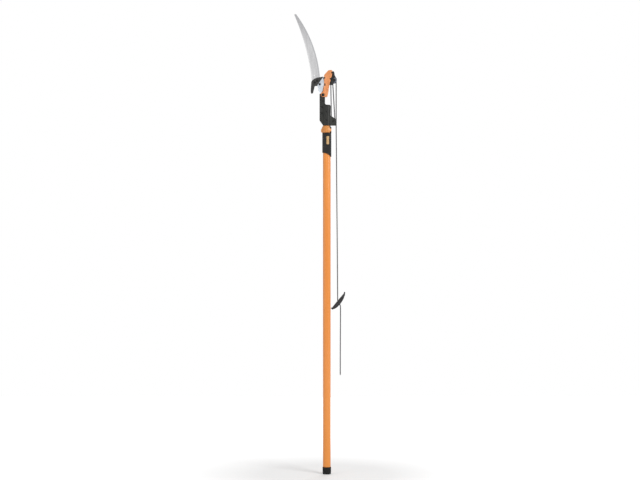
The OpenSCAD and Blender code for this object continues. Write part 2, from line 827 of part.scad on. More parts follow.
module saw_wing_nuts() {
    nut_y = saw_y + saw_t + washer_t;
    color([0.62, 0.62, 0.64])
        at_head()
            for (p = saw_bolt_at)
                difference() {
                    union() {
                        translate([p[0], nut_y, p[1]])
                            rotate([-90, 0, 0])
                                cylinder(h = 6, r1 = saw_bolt_d * 0.88, r2 = saw_bolt_d * 0.75);
                        for (side = [0, 180])
                            translate([p[0], nut_y, p[1]])
                                rotate([0, 34 + side, 0])
                                    wing();
                    }
                    cross_bar(p, nut_y - 1, 20, saw_bolt_d / 2 + seat_gap);
                }
}

// Cutting blade on the front of the hook, with a tail that the link pushes
blade_tip = blade_pivot + [6.5, -blade_len];
blade_heel = blade_pivot + [-8.5, -15];
blade_bow = 3.7;
function blade_outline() =
    let (b = blade_pivot)
    concat(
        sharp(bowed(blade_tip, blade_heel, blade_bow, 10)),
        [[b[0] - 10.5, b[1] - 4, 5], [b[0] + 14.5, b[1] + 31, 4], [b[0] + 26, b[1] + 37, 6],
            [b[0] + 30, b[1] + 24, 7], [b[0] + 20, b[1] - 2, 12], [b[0] + 17, b[1] - 28, 20]]);
// The ground edge lies on a cone about the middle of the edge's arc
module edge_cone() {
    chord = norm(blade_heel - blade_tip);
    radius = (chord * chord / 4 + blade_bow * blade_bow) / (2 * blade_bow);
    along = (blade_heel - blade_tip) / chord;
    centre = (blade_tip + blade_heel) / 2 + (blade_bow - radius) * [-along[1], along[0]];
    translate([centre[0], blade_y - 0.01, centre[1]])
        rotate([-90, 0, 0])
            cylinder(h = blade_t + 0.02, r1 = radius - blade_bevel, r2 = radius, $fn = 96);
}
module cutting_blade() {
    color([0.8, 0.82, 0.84])
        at_head()
            difference() {
                plate(blade_y, blade_t)
                    polygon(rounded(blade_outline()));
                difference() {
                    translate([blade_pivot[0] - 16, blade_y - 0.005, blade_heel[1] - 40])
                        cube([26, blade_t + 0.01, 35]);
                    edge_cone();
                }
                cross_bar(blade_pivot, -20, 30, pivot_d / 2 + run_gap);
                cross_bar(link_high, -20, 30, link_pin_d / 2 + seat_gap);
            }
}
module blade_link_pin() {
    color([0.3, 0.3, 0.31])
        at_head()
            cross_bar(link_high, link_y, link_t + layer_gap + blade_t, link_pin_d / 2);
}
module blade_bolt() {
    color([0.15, 0.15, 0.16])
        at_head() {
            cross_bar(blade_pivot, blade_y - 1, 1 + blade_t + layer_gap + hook_t + 7.5, pivot_d / 2);
            cross_bar(blade_pivot, blade_y - layer_gap - 1.4, 1.4, pivot_d * 0.85);
            hex(blade_pivot, blade_y - layer_gap - 5.4, 4, pivot_d * 0.8);
        }
}
module blade_nut() {
    color([0.5, 0.5, 0.52])
        at_head()
            difference() {
                hex(blade_pivot, hook_t / 2, 6, pivot_d * 0.85);
                cross_bar(blade_pivot, 0, 20, pivot_d / 2 + seat_gap);
            }
}

// Power lever, swinging on a bush through the neck
panel_sink = 1;
pin_room = 1.2;
slot_at = [neck_x + 23, neck_top + 42];
slot_r = 2.6;
slot_h = 7;
function lever_outline() =
    let (x = neck_x, z = neck_top)
    [[x + 4, z - 15.5, 8], [x + 35, z - 15, 7], [x + 40.5, z + 14, 25], [x + 45, z + 45, 30],
        [x + 55.5, z + lever_h - 26.5, 15], [x + 61, z + lever_h, 7], [x + 40, z + lever_h, 12],
        [x + 18.5, z + lever_h - 24, 14], [x + 19.5, z + 48, 40], [x + 15, z + 11, 12],
        [x + 3.5, z + 1.5, 7]];
function lever_panel() =
    let (x = neck_x, z = neck_top)
    [[x + 23, z + 4, 4], [x + 33.5, z + 3, 4], [x + 37, z + 24, 8], [x + 40, z + 45, 14],
        [x + 46, z + 70, 14], [x + 48, z + lever_h - 21.5, 5], [x + 41, z + lever_h - 15.5, 5],
        [x + 27, z + lever_h - 28.5, 8], [x + 26, z + 46, 24]];
module lever_spine() {
    intersection() {
        difference() {
            polygon(rounded(lever_outline()));
            polygon(rounded(shifted(lever_outline(), [-spine_t, -spine_t])));
        }
        union() {
            translate([neck_x + 20, neck_top + 2])
                square([60, 14]);
            translate([neck_x + 37, bracket_top + slide_gap])
                square([40, 20]);
        }
    }
}
module power_lever() {
    color([0.86, 0.47, 0.18])
        at_head()
            difference() {
                union() {
                    plate(-lever_out, lever_t)
                        polygon(rounded(lever_outline()));
                    plate(lever_in, lever_t)
                        polygon(rounded(lever_outline()));
                    plate(-lever_out + 1, 2 * lever_out - 2)
                        lever_spine();
                }
                for (y = [-lever_out - 1, lever_out - panel_sink])
                    plate(y, panel_sink + 1)
                        polygon(rounded(lever_panel()));
                cross_bar(lever_pivot, -30, 60, bush_d / 2 + run_gap);
                cross_bar(link_low, -30, 60, link_pin_d / 2 + seat_gap);
                cross_bar(link_high, -30, 30, link_pin_d / 2 + pin_room);
                for (p = bracket_bolt_at)
                    cross_bar(p, -30, 60, bracket_bolt_d / 2 + seat_gap);
                for (dz = [-slot_h / 2, slot_h / 2])
                    cross_bar([slot_at[0], slot_at[1] + dz], -30, 30, slot_r);
                translate([slot_at[0] - slot_r, -30, slot_at[1] - slot_h / 2])
                    cube([2 * slot_r, 30, slot_h]);
            }
}
module lever_bush() {
    color([0.7, 0.66, 0.5])
        at_head()
            difference() {
                cross_bar(lever_pivot, -lever_out - 0.2, 2 * lever_out + 0.4, bush_d / 2);
                cross_bar(lever_pivot, -30, 60, lever_bolt_d / 2 + seat_gap);
            }
}
module lever_bolt() {
    color([0.15, 0.15, 0.16])
        at_head() {
            cross_bar(lever_pivot, -lever_out - 0.4, 2 * lever_out + 6, lever_bolt_d / 2);
            cross_bar(lever_pivot, -lever_out - 1.7, 1.5, bush_d * 0.75);
            hex(lever_pivot, -lever_out - 5.7, 4, lever_bolt_d * 0.9);
        }
}
module lever_nut() {
    color([0.5, 0.5, 0.52])
        at_head()
            difference() {
                union() {
                    cross_bar(lever_pivot, lever_out + 0.2, 1.5, bush_d * 0.75);
                    hex(lever_pivot, lever_out + 1.7, 4.6, lever_bolt_d * 0.95);
                }
                cross_bar(lever_pivot, 0, 60, lever_bolt_d / 2 + seat_gap);
            }
}
module lever_link_pin() {
    color([0.3, 0.3, 0.31])
        at_head() {
            cross_bar(link_low, -lever_out, 2 * lever_out, link_pin_d / 2);
            dome(link_low, -lever_out, 1.4, link_pin_d * 0.75, -1);
            dome(link_low, lever_out, 1.4, link_pin_d * 0.75, 1);
        }
}
module drive_link() {
    turn = atan2((link_high - link_low)[1], (link_high - link_low)[0]);
    reach = norm(link_high - link_low);
    color([0.35, 0.35, 0.37])
        at_head()
            difference() {
                translate([link_low[0], link_y + link_t, link_low[1]])
                    rotate([0, -turn, 0])
                        rotate([90, 0, 0])
                            linear_extrude(link_t)
                                polygon(rounded([[-link_r, -link_r, link_r - 0.01],
                                    [reach + link_r, -link_r, link_r - 0.01],
                                    [reach + link_r, link_r, link_r - 0.01],
                                    [-link_r, link_r, link_r - 0.01]]));
                cross_bar(link_low, -30, 60, link_pin_d / 2 + run_gap);
                cross_bar(link_high, -30, 60, link_pin_d / 2 + run_gap);
            }
}
// Return spring: its leg lies against the lever's link pin
spring_r = bush_d / 2 + 2.8;
spring_foot = 22;
spring_reach = norm(arm) + 3;
leg_aim = 90 - atan2(arm[0], arm[1])
    + asin((spring_r - link_pin_d / 2 - spring_wire / 2 - slide_gap) / norm(arm));
spring_rise = neck_half - hook_t / 2 - spring_wire - spring_play - slide_gap;
spring_sweep = 720 - 90 + leg_aim;
spring_coil = coil_path(spring_r, 0, spring_sweep, spring_rise, 16, spring_foot, spring_reach);
echo(return_spring_gap = coil_gap(spring_coil, spring_wire, 8));
module return_spring() {
    color([0.55, 0.55, 0.57])
        at_head()
            translate([lever_pivot[0], hook_t / 2 + spring_play + spring_wire / 2, lever_pivot[1]])
                skin(tube_rings(spring_coil, spring_wire / 2, [0, 1, 0], 6));
}

// Pulley bracket bolted inside the top of the lever
// A corner of the bracket, placed from the rope's dead end
function dead_corner(x, z, r) = [dead_at[0] + x, dead_at[1] + z, r];
function bracket_outline() =
    let (u = upper_at)
    [[bracket_right, bracket_top, 4], [neck_x + 52, bracket_top, 3], dead_corner(-7, 28, 4),
        dead_corner(-7.5, -6, 2), dead_corner(7, -6, 3), [u[0] - 2, u[1] - 14.5, 4],
        [u[0] + 10, u[1] - 13.5, 7], [u[0] + 12.5, u[1] + 6, 10], [u[0] + 2, u[1] + 24, 6]];
// The front cheek is an arm that leaves the pulley's rim in sight
function bracket_front() =
    let (u = upper_at)
    [[bracket_right, bracket_top, 4], [neck_x + 52, bracket_top, 3], dead_corner(-7, 28, 4),
        dead_corner(-7.5, -6, 2), dead_corner(7, -6, 3), [u[0] - 6, u[1] - 9, 4],
        [u[0] + hub_r, u[1] - hub_r - 0.5, hub_r - 0.5], [u[0] + hub_r, u[1] + hub_r + 0.5, hub_r - 0.5],
        [u[0] - 8, u[1] + 9.5, 4], [bracket_right - 0.5, bracket_top - 15, 4]];
module pulley_bracket() {
    color([0.09, 0.09, 0.1])
        at_head()
            difference() {
                union() {
                    plate(-lever_in, lever_in - bracket_in)
                        polygon(rounded(bracket_front()));
                    plate(bracket_in, lever_in - bracket_in)
                        polygon(rounded(bracket_outline()));
                    plate(-lever_in + 1, 2 * lever_in - 2)
                        polygon(rounded([dead_corner(-7.5, -6, 2), dead_corner(6, -6, 3),
                            dead_corner(6, 0.5, 0), dead_corner(-7.3, 0.5, 0)]));
                    plate(-lever_in + 1, 2 * lever_in - 2)
                        polygon(rounded([[neck_x + 65, bracket_top - 0.4, 3],
                            [neck_x + 54, bracket_top - 0.4, 2], [neck_x + 51, bracket_top - 13, 2],
                            [neck_x + 64.5, bracket_top - 13, 2]]));
                }
                cross_bar(upper_at, -30, 60, axle_d / 2 + seat_gap);
                for (p = bracket_bolt_at)
                    cross_bar(p, -30, 60, bracket_bolt_d / 2 + seat_gap);
                translate([dead_at[0], 0, dead_at[1] - 18])
                    cylinder(h = 30, r = rope_r + rope_room);
            }
}
module bracket_bolts() {
    color([0.12, 0.12, 0.13])
        at_head()
            for (p = bracket_bolt_at) {
                cross_bar(p, -lever_out, 2 * lever_out + 5, bracket_bolt_d / 2);
                dome(p, -lever_out, 2.6, bracket_bolt_d * 0.85, -1);
            }
}
module bracket_nuts() {
    color([0.5, 0.5, 0.52])
        at_head()
            for (p = bracket_bolt_at)
                difference() {
                    hex(p, lever_out, 4, bracket_bolt_d * 0.9);
                    cross_bar(p, 0, 60, bracket_bolt_d / 2 + seat_gap);
                }
}

// Pulleys and their axles
module pulley(at) {
    translate([at[0], 0, at[1]])
        rotate([90, 0, 0])
            difference() {
                rotate_extrude()
                    polygon(rounded([[axle_d / 2 + run_gap, -pulley_w / 2, 0],
                        [flange_r, -pulley_w / 2, 0.6], [flange_r, -groove_r - 0.4, 0.3],
                        [pulley_r - 0.5, -groove_r, 1], [pulley_r - groove_r, -1.6, 1],
                        [pulley_r - groove_r, 1.6, 1], [pulley_r - 0.5, groove_r, 1],
                        [flange_r, groove_r + 0.4, 0.3], [flange_r, pulley_w / 2, 0.6],
                        [axle_d / 2 + run_gap, pulley_w / 2, 0]]));
                for (a = [0 : 72 : 359])
                    rotate([0, 0, a])
                        translate([pulley_r - groove_r - 1.1, 0, -pulley_w])
                            cylinder(h = 2 * pulley_w, r = 0.7, $fn = 24);
            }
}
module axle(at, half) {
    cross_bar(at, -half, 2 * half, axle_d / 2);
    dome(at, -half, 1.5, axle_d * 0.85, -1);
    dome(at, half, 1.5, axle_d * 0.85, 1);
}
module lower_pulley() {
    color([0.42, 0.43, 0.5])
        at_head()
            pulley(lower_at);
}
module lower_axle() {
    color([0.6, 0.6, 0.62])
        at_head()
            axle(lower_at, neck_half);
}
module upper_pulley() {
    color([0.42, 0.43, 0.5])
        at_head()
            pulley(upper_at);
}
module upper_axle() {
    color([0.6, 0.6, 0.62])
        at_head()
            axle(upper_at, lever_in);
}

// Rope: knotted to the bracket, round both pulleys, then down to the handle
rope_start = dead_at + [0, -1.2];
to_lower = let (d = lower_at - rope_start) atan2(d[1], d[0]) - asin(pulley_r / norm(d));
to_upper = let (d = upper_at - lower_at) atan2(d[1], d[0]) + asin(2 * pulley_r / norm(d));
turn_lead = 1;
function rim(centre, angle) = centre + pulley_r * [cos(angle), sin(angle)];
// Points of a straight run that stops short of its ends
function run(a, b, short_a, short_b, steps) =
    let (along = unit(b - a), first = a + short_a * along, last = b - short_b * along)
    [for (i = [0 : steps]) first + (last - first) * i / steps];
// Points round a pulley, with a short straight lead at each end
function turn(centre, from, to, steps) =
    let (way = sign(to - from))
    concat(
        [rim(centre, from) - way * turn_lead * [-sin(from), cos(from)]],
        [for (i = [0 : steps]) rim(centre, from + (to - from) * i / steps)],
        [rim(centre, to) + way * turn_lead * [-sin(to), cos(to)]]);
module rope(points) {
    color([0.36, 0.36, 0.38])
        skin(tube_rings([for (p = points) [p[0], 0, p[1]]], rope_r, [0, 1, 0], 8));
}
turn_gap = turn_lead + seat_gap;
module rope_dead() {
    at_head()
        rope(run(rope_start, rim(lower_at, to_lower - 90), 0, turn_gap, 12));
}
module rope_lower_turn() {
    at_head()
        rope(turn(lower_at, to_lower - 90, to_upper - 90, 12));
}
module rope_middle() {
    at_head()
        rope(run(rim(lower_at, to_upper - 90), rim(upper_at, to_upper + 90), turn_gap, turn_gap, 14));
}
module rope_upper_turn() {
    at_head()
        rope(turn(upper_at, to_upper + 90, 0, 12));
}
module rope_lead() {
    at_head()
        rope(run(rim(upper_at, 0), [haul_x, 0], turn_gap, 0, 14));
}
module rope_knot() {
    color([0.36, 0.36, 0.38])
        at_head()
            translate([dead_at[0], 0, dead_at[1] + knot_rise])
                sphere(r = rope_d * 0.82);
}
// Hand-chosen points of the hanging rope, [x, z], from the pulley ear to its sealed end
rope_route = [[haul_x, head_z - slide_gap], [haul_x, head_z - 14], [haul_x + 0.4, 1600],
    [46, 1500], [47.2, 1360], [48.4, 1220], [49.6, 1080], [50.6, 960], [51.2, 880],
    [51.6, 840], rope_in, rope_out, [65, 780], [65, 740], [64.6, 680], [64.2, 610],
    [64, 540], [64, 484]];
function between(p, i, t) =
    let (
        n = len(p),
        a = p[max(i - 1, 0)],
        b = p[i],
        c = p[i + 1],
        d = p[min(i + 2, n - 1)]
    )
    (2 * b + (c - a) * t + (2 * a - 5 * b + 4 * c - d) * t * t
        + (3 * b - a - 3 * c + d) * t * t * t) / 2;
haul_path = concat(
    [for (i = [0 : len(rope_route) - 2], k = [0 : 3]) between(rope_route, i, k / 4)],
    [rope_route[len(rope_route) - 1]]);
module rope_haul() {
    rope(haul_path);
}
module rope_tip() {
    tip = rope_route[len(rope_route) - 1];
    color([0.1, 0.1, 0.11])
        translate([tip[0], 0, tip[1] - 15])
            rotate_extrude()
                polygon([[0, 0], [0.9, 0], [rope_r, 11], [rope_r, 15], [0, 15]]);
}
// Crescent handle: straight along the fingers' side, full on the other and towards its low end,
// with a rounded nub turned out at each end
module crescent() {
    stations = 24;
    skin([for (i = [0 : stations])
        let (
            s = (1 - cos(180 * (i + 0.7) / (stations + 1.4))) / 2,
            full = pow(sin(180 * pow(s, 0.85)), 0.45),
            half = handle_w / 2 * full,
            deep = handle_t / 2 * pow(full, 0.8),
            middle = handle_crown * sin(180 * s) - half
        )
        [for (j = [0 : 15])
            let (a = 360 * j / 16)
            [handle_low + (handle_high - handle_low) * s, deep * sin(a), middle + half * cos(a)]]]);
}
module nub(ends) {
    d = ends[1] - ends[0];
    translate([ends[0][0], 0, ends[0][1]])
        rotate([0, atan2(d[0], d[1]), 0]) {
            sphere(r = nub_r);
            cylinder(h = norm(d), r = nub_r);
            translate([0, 0, norm(d)])
                sphere(r = nub_r);
        }
}
module pull_handle() {
    color([0.07, 0.07, 0.08])
        difference() {
            translate([handle_at[0], 0, handle_at[1]])
                rotate([0, -handle_turn, 0]) {
                    crescent();
                    nub(low_nub);
                    nub(high_nub);
                }
            rope_bore();
        }
}
module rope_bore() {
    d = rope_out - rope_in;
    translate([rope_in[0], 0, rope_in[1]])
        rotate([0, atan2(d[0], d[1]), 0])
            translate([0, 0, -40])
                cylinder(h = 100, r = rope_r + rope_room);
}

outer_pole();
end_cap();
lock_housing();
clamp_collar();
guide_sleeve();
lock_screws();
clamp_pin();
button_pin();
button_spring();
clamp_lever();
clamp_shoe();
release_button();
latch_pin();
inner_pole();
slide_plug();
head_front();
head_rear();
head_screws();
socket_screws();
hook();
saw_blade();
saw_bolts();
saw_washers();
saw_wing_nuts();
blade_bolt();
blade_nut();
lever_bush();
lever_bolt();
lever_nut();
return_spring();
lower_axle();
lower_pulley();
power_lever();
pulley_bracket();
bracket_bolts();
bracket_nuts();
lever_link_pin();
upper_axle();
upper_pulley();
drive_link();
cutting_blade();
blade_link_pin();
rope_knot();
rope_dead();
rope_lower_turn();
rope_middle();
rope_upper_turn();
rope_lead();
rope_haul();
rope_tip();
pull_handle();
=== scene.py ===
import bpy
import math
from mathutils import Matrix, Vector


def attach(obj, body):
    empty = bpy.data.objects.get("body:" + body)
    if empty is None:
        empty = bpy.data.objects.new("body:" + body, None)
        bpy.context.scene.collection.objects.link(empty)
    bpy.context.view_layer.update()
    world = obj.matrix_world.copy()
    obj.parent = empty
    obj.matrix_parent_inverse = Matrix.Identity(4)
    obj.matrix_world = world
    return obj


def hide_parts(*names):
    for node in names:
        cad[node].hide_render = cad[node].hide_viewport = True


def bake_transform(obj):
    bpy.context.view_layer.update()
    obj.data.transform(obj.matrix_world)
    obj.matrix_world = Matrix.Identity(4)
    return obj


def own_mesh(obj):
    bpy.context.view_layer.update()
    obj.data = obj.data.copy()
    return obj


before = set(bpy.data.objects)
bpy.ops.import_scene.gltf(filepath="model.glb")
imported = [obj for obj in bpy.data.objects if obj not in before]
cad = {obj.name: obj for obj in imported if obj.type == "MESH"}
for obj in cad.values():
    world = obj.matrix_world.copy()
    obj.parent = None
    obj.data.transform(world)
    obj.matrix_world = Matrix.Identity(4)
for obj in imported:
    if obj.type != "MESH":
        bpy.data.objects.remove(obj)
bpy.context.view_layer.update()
scene = bpy.context.scene
print("frame loaded:", len(cad), "CAD nodes")

# camera, level with the middle of the tool and square to its flat side
cameraSetup = {
    "place": (-0.0323, -7.178, 1.1115),
    "lens": 85,
    "sensor": 36,
    "farClip": 60,
}
cameraData = bpy.data.cameras.new("mainCamera")
cameraData.lens = cameraSetup["lens"]
cameraData.sensor_width = cameraSetup["sensor"]
cameraData.clip_end = cameraSetup["farClip"]
mainCamera = bpy.data.objects.new("mainCamera", cameraData)
mainCamera.location = cameraSetup["place"]
mainCamera.rotation_euler = (math.radians(90), 0, 0)
scene.collection.objects.link(mainCamera)
scene.camera = mainCamera
print("camera placed")


def srgb(red, green, blue):
    def linear(c):
        c = c / 255
        return c / 12.92 if c <= 0.04045 else ((c + 0.055) / 1.055) ** 2.4
    return (linear(red), linear(green), linear(blue), 1)


def setMode(mode):
    bpy.ops.object.mode_set(mode=mode)


def applyPlacement():
    bpy.ops.object.transform_apply(location=True, rotation=True, scale=True)


def deselectAll():
    if bpy.context.object and bpy.context.object.mode != "OBJECT":
        setMode("OBJECT")
    bpy.ops.object.select_all(action="DESELECT")


def makeActive(obj):
    deselectAll()
    obj.select_set(True)
    bpy.context.view_layer.objects.active = obj


def unselectMesh(kind):
    setMode("EDIT")
    bpy.ops.mesh.select_mode(type=kind)
    bpy.ops.mesh.select_all(action="DESELECT")
    setMode("OBJECT")


def combine(piece, other, operation):
    makeActive(piece)
    step = piece.modifiers.new("combine", "BOOLEAN")
    step.operation = operation
    step.solver = "EXACT"
    step.object = other
    bpy.ops.object.modifier_apply(modifier="combine")
    bpy.data.objects.remove(other)


nearly = 0.00001   # metres within which two places count as one


# materials: small building blocks that every finish shares
def newFinish(name):
    material = bpy.data.materials.new(name)
    material.use_nodes = True
    return material, material.node_tree, material.node_tree.nodes["Principled BSDF"]


def mathNode(tree, operation, first, second=None):
    node = tree.nodes.new("ShaderNodeMath")
    node.operation = operation
    for socket, value in zip(node.inputs, (first, second)):
        if isinstance(value, (int, float)):
            socket.default_value = value
        elif value is not None:
            tree.links.new(value, socket)
    return node.outputs[0]


def noiseOn(tree, scale, stretch=(1, 1, 1), detail=3, turn=(0, 0, 0)):
    coord = tree.nodes.new("ShaderNodeTexCoord")
    place = tree.nodes.new("ShaderNodeMapping")
    place.inputs["Rotation"].default_value = turn
    place.inputs["Scale"].default_value = stretch
    noise = tree.nodes.new("ShaderNodeTexNoise")
    noise.inputs["Scale"].default_value = scale
    noise.inputs["Detail"].default_value = detail
    tree.links.new(coord.outputs["Object"], place.inputs["Vector"])
    tree.links.new(place.outputs["Vector"], noise.inputs["Vector"])
    return noise.outputs["Fac"]


def colourRamp(tree, factor, stops):
    ramp = tree.nodes.new("ShaderNodeValToRGB")
    while len(ramp.color_ramp.elements) < len(stops):
        ramp.color_ramp.elements.new(0.5)
    for element, (position, colour) in zip(ramp.color_ramp.elements, stops):
        element.position = position
        element.color = colour
    tree.links.new(factor, ramp.inputs["Fac"])
    return ramp.outputs["Color"]


def spread(tree, factor, low, high, fromLow=0.3, fromHigh=0.7):
    node = tree.nodes.new("ShaderNodeMapRange")
    for name, value in (("From Min", fromLow), ("From Max", fromHigh), ("To Min", low), ("To Max", high)):
        node.inputs[name].default_value = value
    tree.links.new(factor, node.inputs["Value"])
    return node.outputs["Result"]


def mixColour(tree, factor, first, second):
    node = tree.nodes.new("ShaderNodeMix")
    node.data_type = "RGBA"
    tree.links.new(factor, node.inputs["Factor"])
    for socket, value in ((node.inputs[6], first), (node.inputs[7], second)):
        if isinstance(value, tuple):
            socket.default_value = value
        else:
            tree.links.new(value, socket)
    return node.outputs[2]


def edgeMask(tree, radius, gain):
    rounded = tree.nodes.new("ShaderNodeBevel")
    rounded.samples = 4
    rounded.inputs["Radius"].default_value = radius
    plain = tree.nodes.new("ShaderNodeNewGeometry")
    dot = tree.nodes.new("ShaderNodeVectorMath")
    dot.operation = "DOT_PRODUCT"
    tree.links.new(rounded.outputs["Normal"], dot.inputs[0])
    tree.links.new(plain.outputs["Normal"], dot.inputs[1])
    away = mathNode(tree, "SUBTRACT", 1.0, dot.outputs["Value"])
    return mathNode(tree, "MINIMUM", mathNode(tree, "MULTIPLY", away, gain), 1.0)


def reliefOn(tree, shader, height, strength, distance):
    bump = tree.nodes.new("ShaderNodeBump")
    bump.inputs["Strength"].default_value = strength
    bump.inputs["Distance"].default_value = distance
    tree.links.new(height, bump.inputs["Height"])
    tree.links.new(bump.outputs["Normal"], shader.inputs["Normal"])


# finer noise than the blotches breaks up the edge tint and the gloss; the edge tint is painted highlight on
# the orange mouldings, worn edges with painted highlight on the black mouldings, painted shade on the hook,
# and a lighter edge on the bolts and the cutting blade
def mouldedFinish(name, look):
    material, tree, shader = newFinish(name)
    blotches = noiseOn(tree, look["blotch"], look.get("stretch", (1, 1, 1)))
    colour = colourRamp(tree, blotches, [(0.3, look["dark"]), (0.7, look["light"])])
    # edge tint along the rims: painted highlight and painted shade, with wear on the black mouldings
    if "edge" in look:
        edgeWearAndPaintedLight = mathNode(tree, "MULTIPLY", edgeMask(tree, look["edgeWidth"], look["edgeGain"]),
                          spread(tree, noiseOn(tree, look["blotch"] * 4), 0.25, 1))
        colour = mixColour(tree, edgeWearAndPaintedLight, colour, look["edge"])
    tree.links.new(colour, shader.inputs["Base Color"])
    roughness = spread(tree, noiseOn(tree, look["blotch"] * 3), *look["rough"])
    tree.links.new(roughness, shader.inputs["Roughness"])
    grain = noiseOn(tree, look["grain"], look.get("grainStretch", (1, 1, 1)), 2)
    reliefOn(tree, shader, grain, look["grainStrength"], look["grainDepth"])
    shader.inputs["Metallic"].default_value = look.get("metal", 0)
    shader.inputs["Specular IOR Level"].default_value = look.get("specular", 0.5)
    shader.inputs["Coat Weight"].default_value = look.get("coat", 0)
    shader.inputs["Coat Roughness"].default_value = look.get("coatRough", 0.1)
    return material


finishes = {
    "fibreglassOrange": {
        "dark": srgb(242, 145, 55), "light": srgb(250, 157, 67), "blotch": 30, "stretch": (1, 1, 0.04),
        "rough": (0.26, 0.36), "grain": 420, "grainStretch": (1, 1, 0.03), "grainStrength": 0.12,
        "grainDepth": 0.0003, "coat": 0.25, "coatRough": 0.12,
    },
    # the lever's cream edge tint is painted highlight
    "leverOrange": {
        "dark": srgb(230, 148, 90), "light": srgb(242, 162, 106), "blotch": 45, "rough": (0.34, 0.46),
        "grain": 1600, "grainStrength": 0.16, "grainDepth": 0.0002, "edge": srgb(244, 190, 140),
        "edgeWidth": 0.0009, "edgeGain": 2.2,
    },
    # the clamp lever's lighter edge tint is painted highlight
    "clampOrange": {
        "dark": srgb(218, 139, 66), "light": srgb(232, 157, 86), "blotch": 60, "rough": (0.34, 0.46),
        "grain": 1600, "grainStrength": 0.16, "grainDepth": 0.0002, "edge": srgb(242, 186, 136),
        "edgeWidth": 0.0007, "edgeGain": 1.6,
    },
    "buttonAmber": {
        "dark": srgb(206, 166, 112), "light": srgb(218, 182, 130), "blotch": 80, "rough": (0.36, 0.48),
        "grain": 1500, "grainStrength": 0.14, "grainDepth": 0.0002,
    },
    # the lighter edge tint of the black mouldings is worn edges and painted highlight
    "mouldedBlack": {
        "dark": srgb(18, 18, 17), "light": srgb(28, 28, 25), "blotch": 50, "rough": (0.4, 0.56),
        "grain": 1300, "grainStrength": 0.25, "grainDepth": 0.0003, "edge": srgb(70, 68, 62),
        "edgeWidth": 0.0008, "edgeGain": 1.4, "specular": 0.32,
    },
    # the lighter edge tint of the head is worn edges and painted highlight
    "headBlack": {
        "dark": srgb(25, 26, 24), "light": srgb(39, 40, 36), "blotch": 50, "rough": (0.4, 0.56),
        "grain": 1300, "grainStrength": 0.25, "grainDepth": 0.0003, "edge": srgb(84, 83, 76),
        "edgeWidth": 0.0008, "edgeGain": 1.4, "specular": 0.35,
    },
    # the handle's wide range from near-black to light grey blotches is random tone and painted highlight
    "handleBlack": {
        "dark": srgb(12, 12, 14), "light": srgb(58, 57, 60), "blotch": 110, "rough": (0.46, 0.66),
        "grain": 900, "grainStrength": 0.3, "grainDepth": 0.0004, "specular": 0.34,
    },
    "capRubber": {
        "dark": srgb(18, 18, 18), "light": srgb(28, 27, 26), "blotch": 70, "rough": (0.66, 0.85),
        "grain": 700, "grainStrength": 0.3, "grainDepth": 0.0004, "specular": 0.3,
    },
    "tubeBlack": {
        "dark": srgb(30, 30, 31), "light": srgb(40, 40, 41), "blotch": 40, "stretch": (1, 1, 0.05),
        "rough": (0.3, 0.42), "grain": 900, "grainStretch": (1, 1, 0.02), "grainStrength": 0.12,
        "grainDepth": 0.0002, "metal": 0.5,
    },
    # the hook's darker edge tint is painted shade
    "hookPaint": {
        "dark": srgb(48, 48, 47), "light": srgb(71, 70, 69), "blotch": 60, "rough": (0.4, 0.58),
        "grain": 1000, "grainStrength": 0.2, "grainDepth": 0.0003, "metal": 0.3, "edge": srgb(24, 24, 24),
        "edgeWidth": 0.0016, "edgeGain": 2.4, "specular": 0.35,
    },
    "boltBlack": {
        "dark": srgb(30, 30, 31), "light": srgb(46, 45, 44), "blotch": 220, "rough": (0.32, 0.5),
        "grain": 1800, "grainStrength": 0.15, "grainDepth": 0.0002, "metal": 0.7, "edge": srgb(120, 118, 114),
        "edgeWidth": 0.0004, "edgeGain": 1.4,
    },
    "cuttingSteel": {
        "dark": srgb(188, 195, 205), "light": srgb(214, 219, 226), "blotch": 60, "rough": (0.2, 0.34),
        "grain": 500, "grainStretch": (1, 1, 0.06), "grainStrength": 0.12, "grainDepth": 0.0002, "metal": 1,
        "edge": srgb(232, 236, 240), "edgeWidth": 0.0008, "edgeGain": 2,
    },
    "zincPlate": {
        "dark": srgb(168, 170, 172), "light": srgb(200, 200, 198), "blotch": 180, "rough": (0.28, 0.44),
        "grain": 1200, "grainStrength": 0.12, "grainDepth": 0.0002, "metal": 1,
    },
    "linkSteel": {
        "dark": srgb(92, 93, 96), "light": srgb(122, 123, 126), "blotch": 120, "rough": (0.34, 0.5),
        "grain": 700, "grainStretch": (1, 1, 0.1), "grainStrength": 0.15, "grainDepth": 0.0002, "metal": 0.8,
    },
    "pinBlack": {
        "dark": srgb(28, 27, 26), "light": srgb(48, 46, 44), "blotch": 260, "rough": (0.34, 0.5),
        "grain": 1800, "grainStrength": 0.15, "grainDepth": 0.0002, "metal": 0.6, "specular": 0.35,
    },
    "bushBronze": {
        "dark": srgb(160, 126, 70), "light": srgb(186, 150, 92), "blotch": 260, "rough": (0.3, 0.5),
        "grain": 2200, "grainStrength": 0.2, "grainDepth": 0.0002, "metal": 1,
    },
    "pulleyAcetal": {
        "dark": srgb(120, 124, 140), "light": srgb(142, 146, 162), "blotch": 160, "rough": (0.3, 0.44),
        "grain": 1500, "grainStrength": 0.12, "grainDepth": 0.0002,
    },
    "plainPlastic": {
        "dark": srgb(196, 193, 184), "light": srgb(212, 210, 202), "blotch": 90, "rough": (0.42, 0.56),
        "grain": 1200, "grainStrength": 0.15, "grainDepth": 0.0002,
    },
    "ropeSeal": {
        "dark": srgb(30, 30, 31), "light": srgb(52, 51, 50), "blotch": 400, "rough": (0.25, 0.5),
        "grain": 900, "grainStrength": 0.5, "grainDepth": 0.0006,
    },
}
finish = {name: mouldedFinish(name, look) for name, look in finishes.items()}

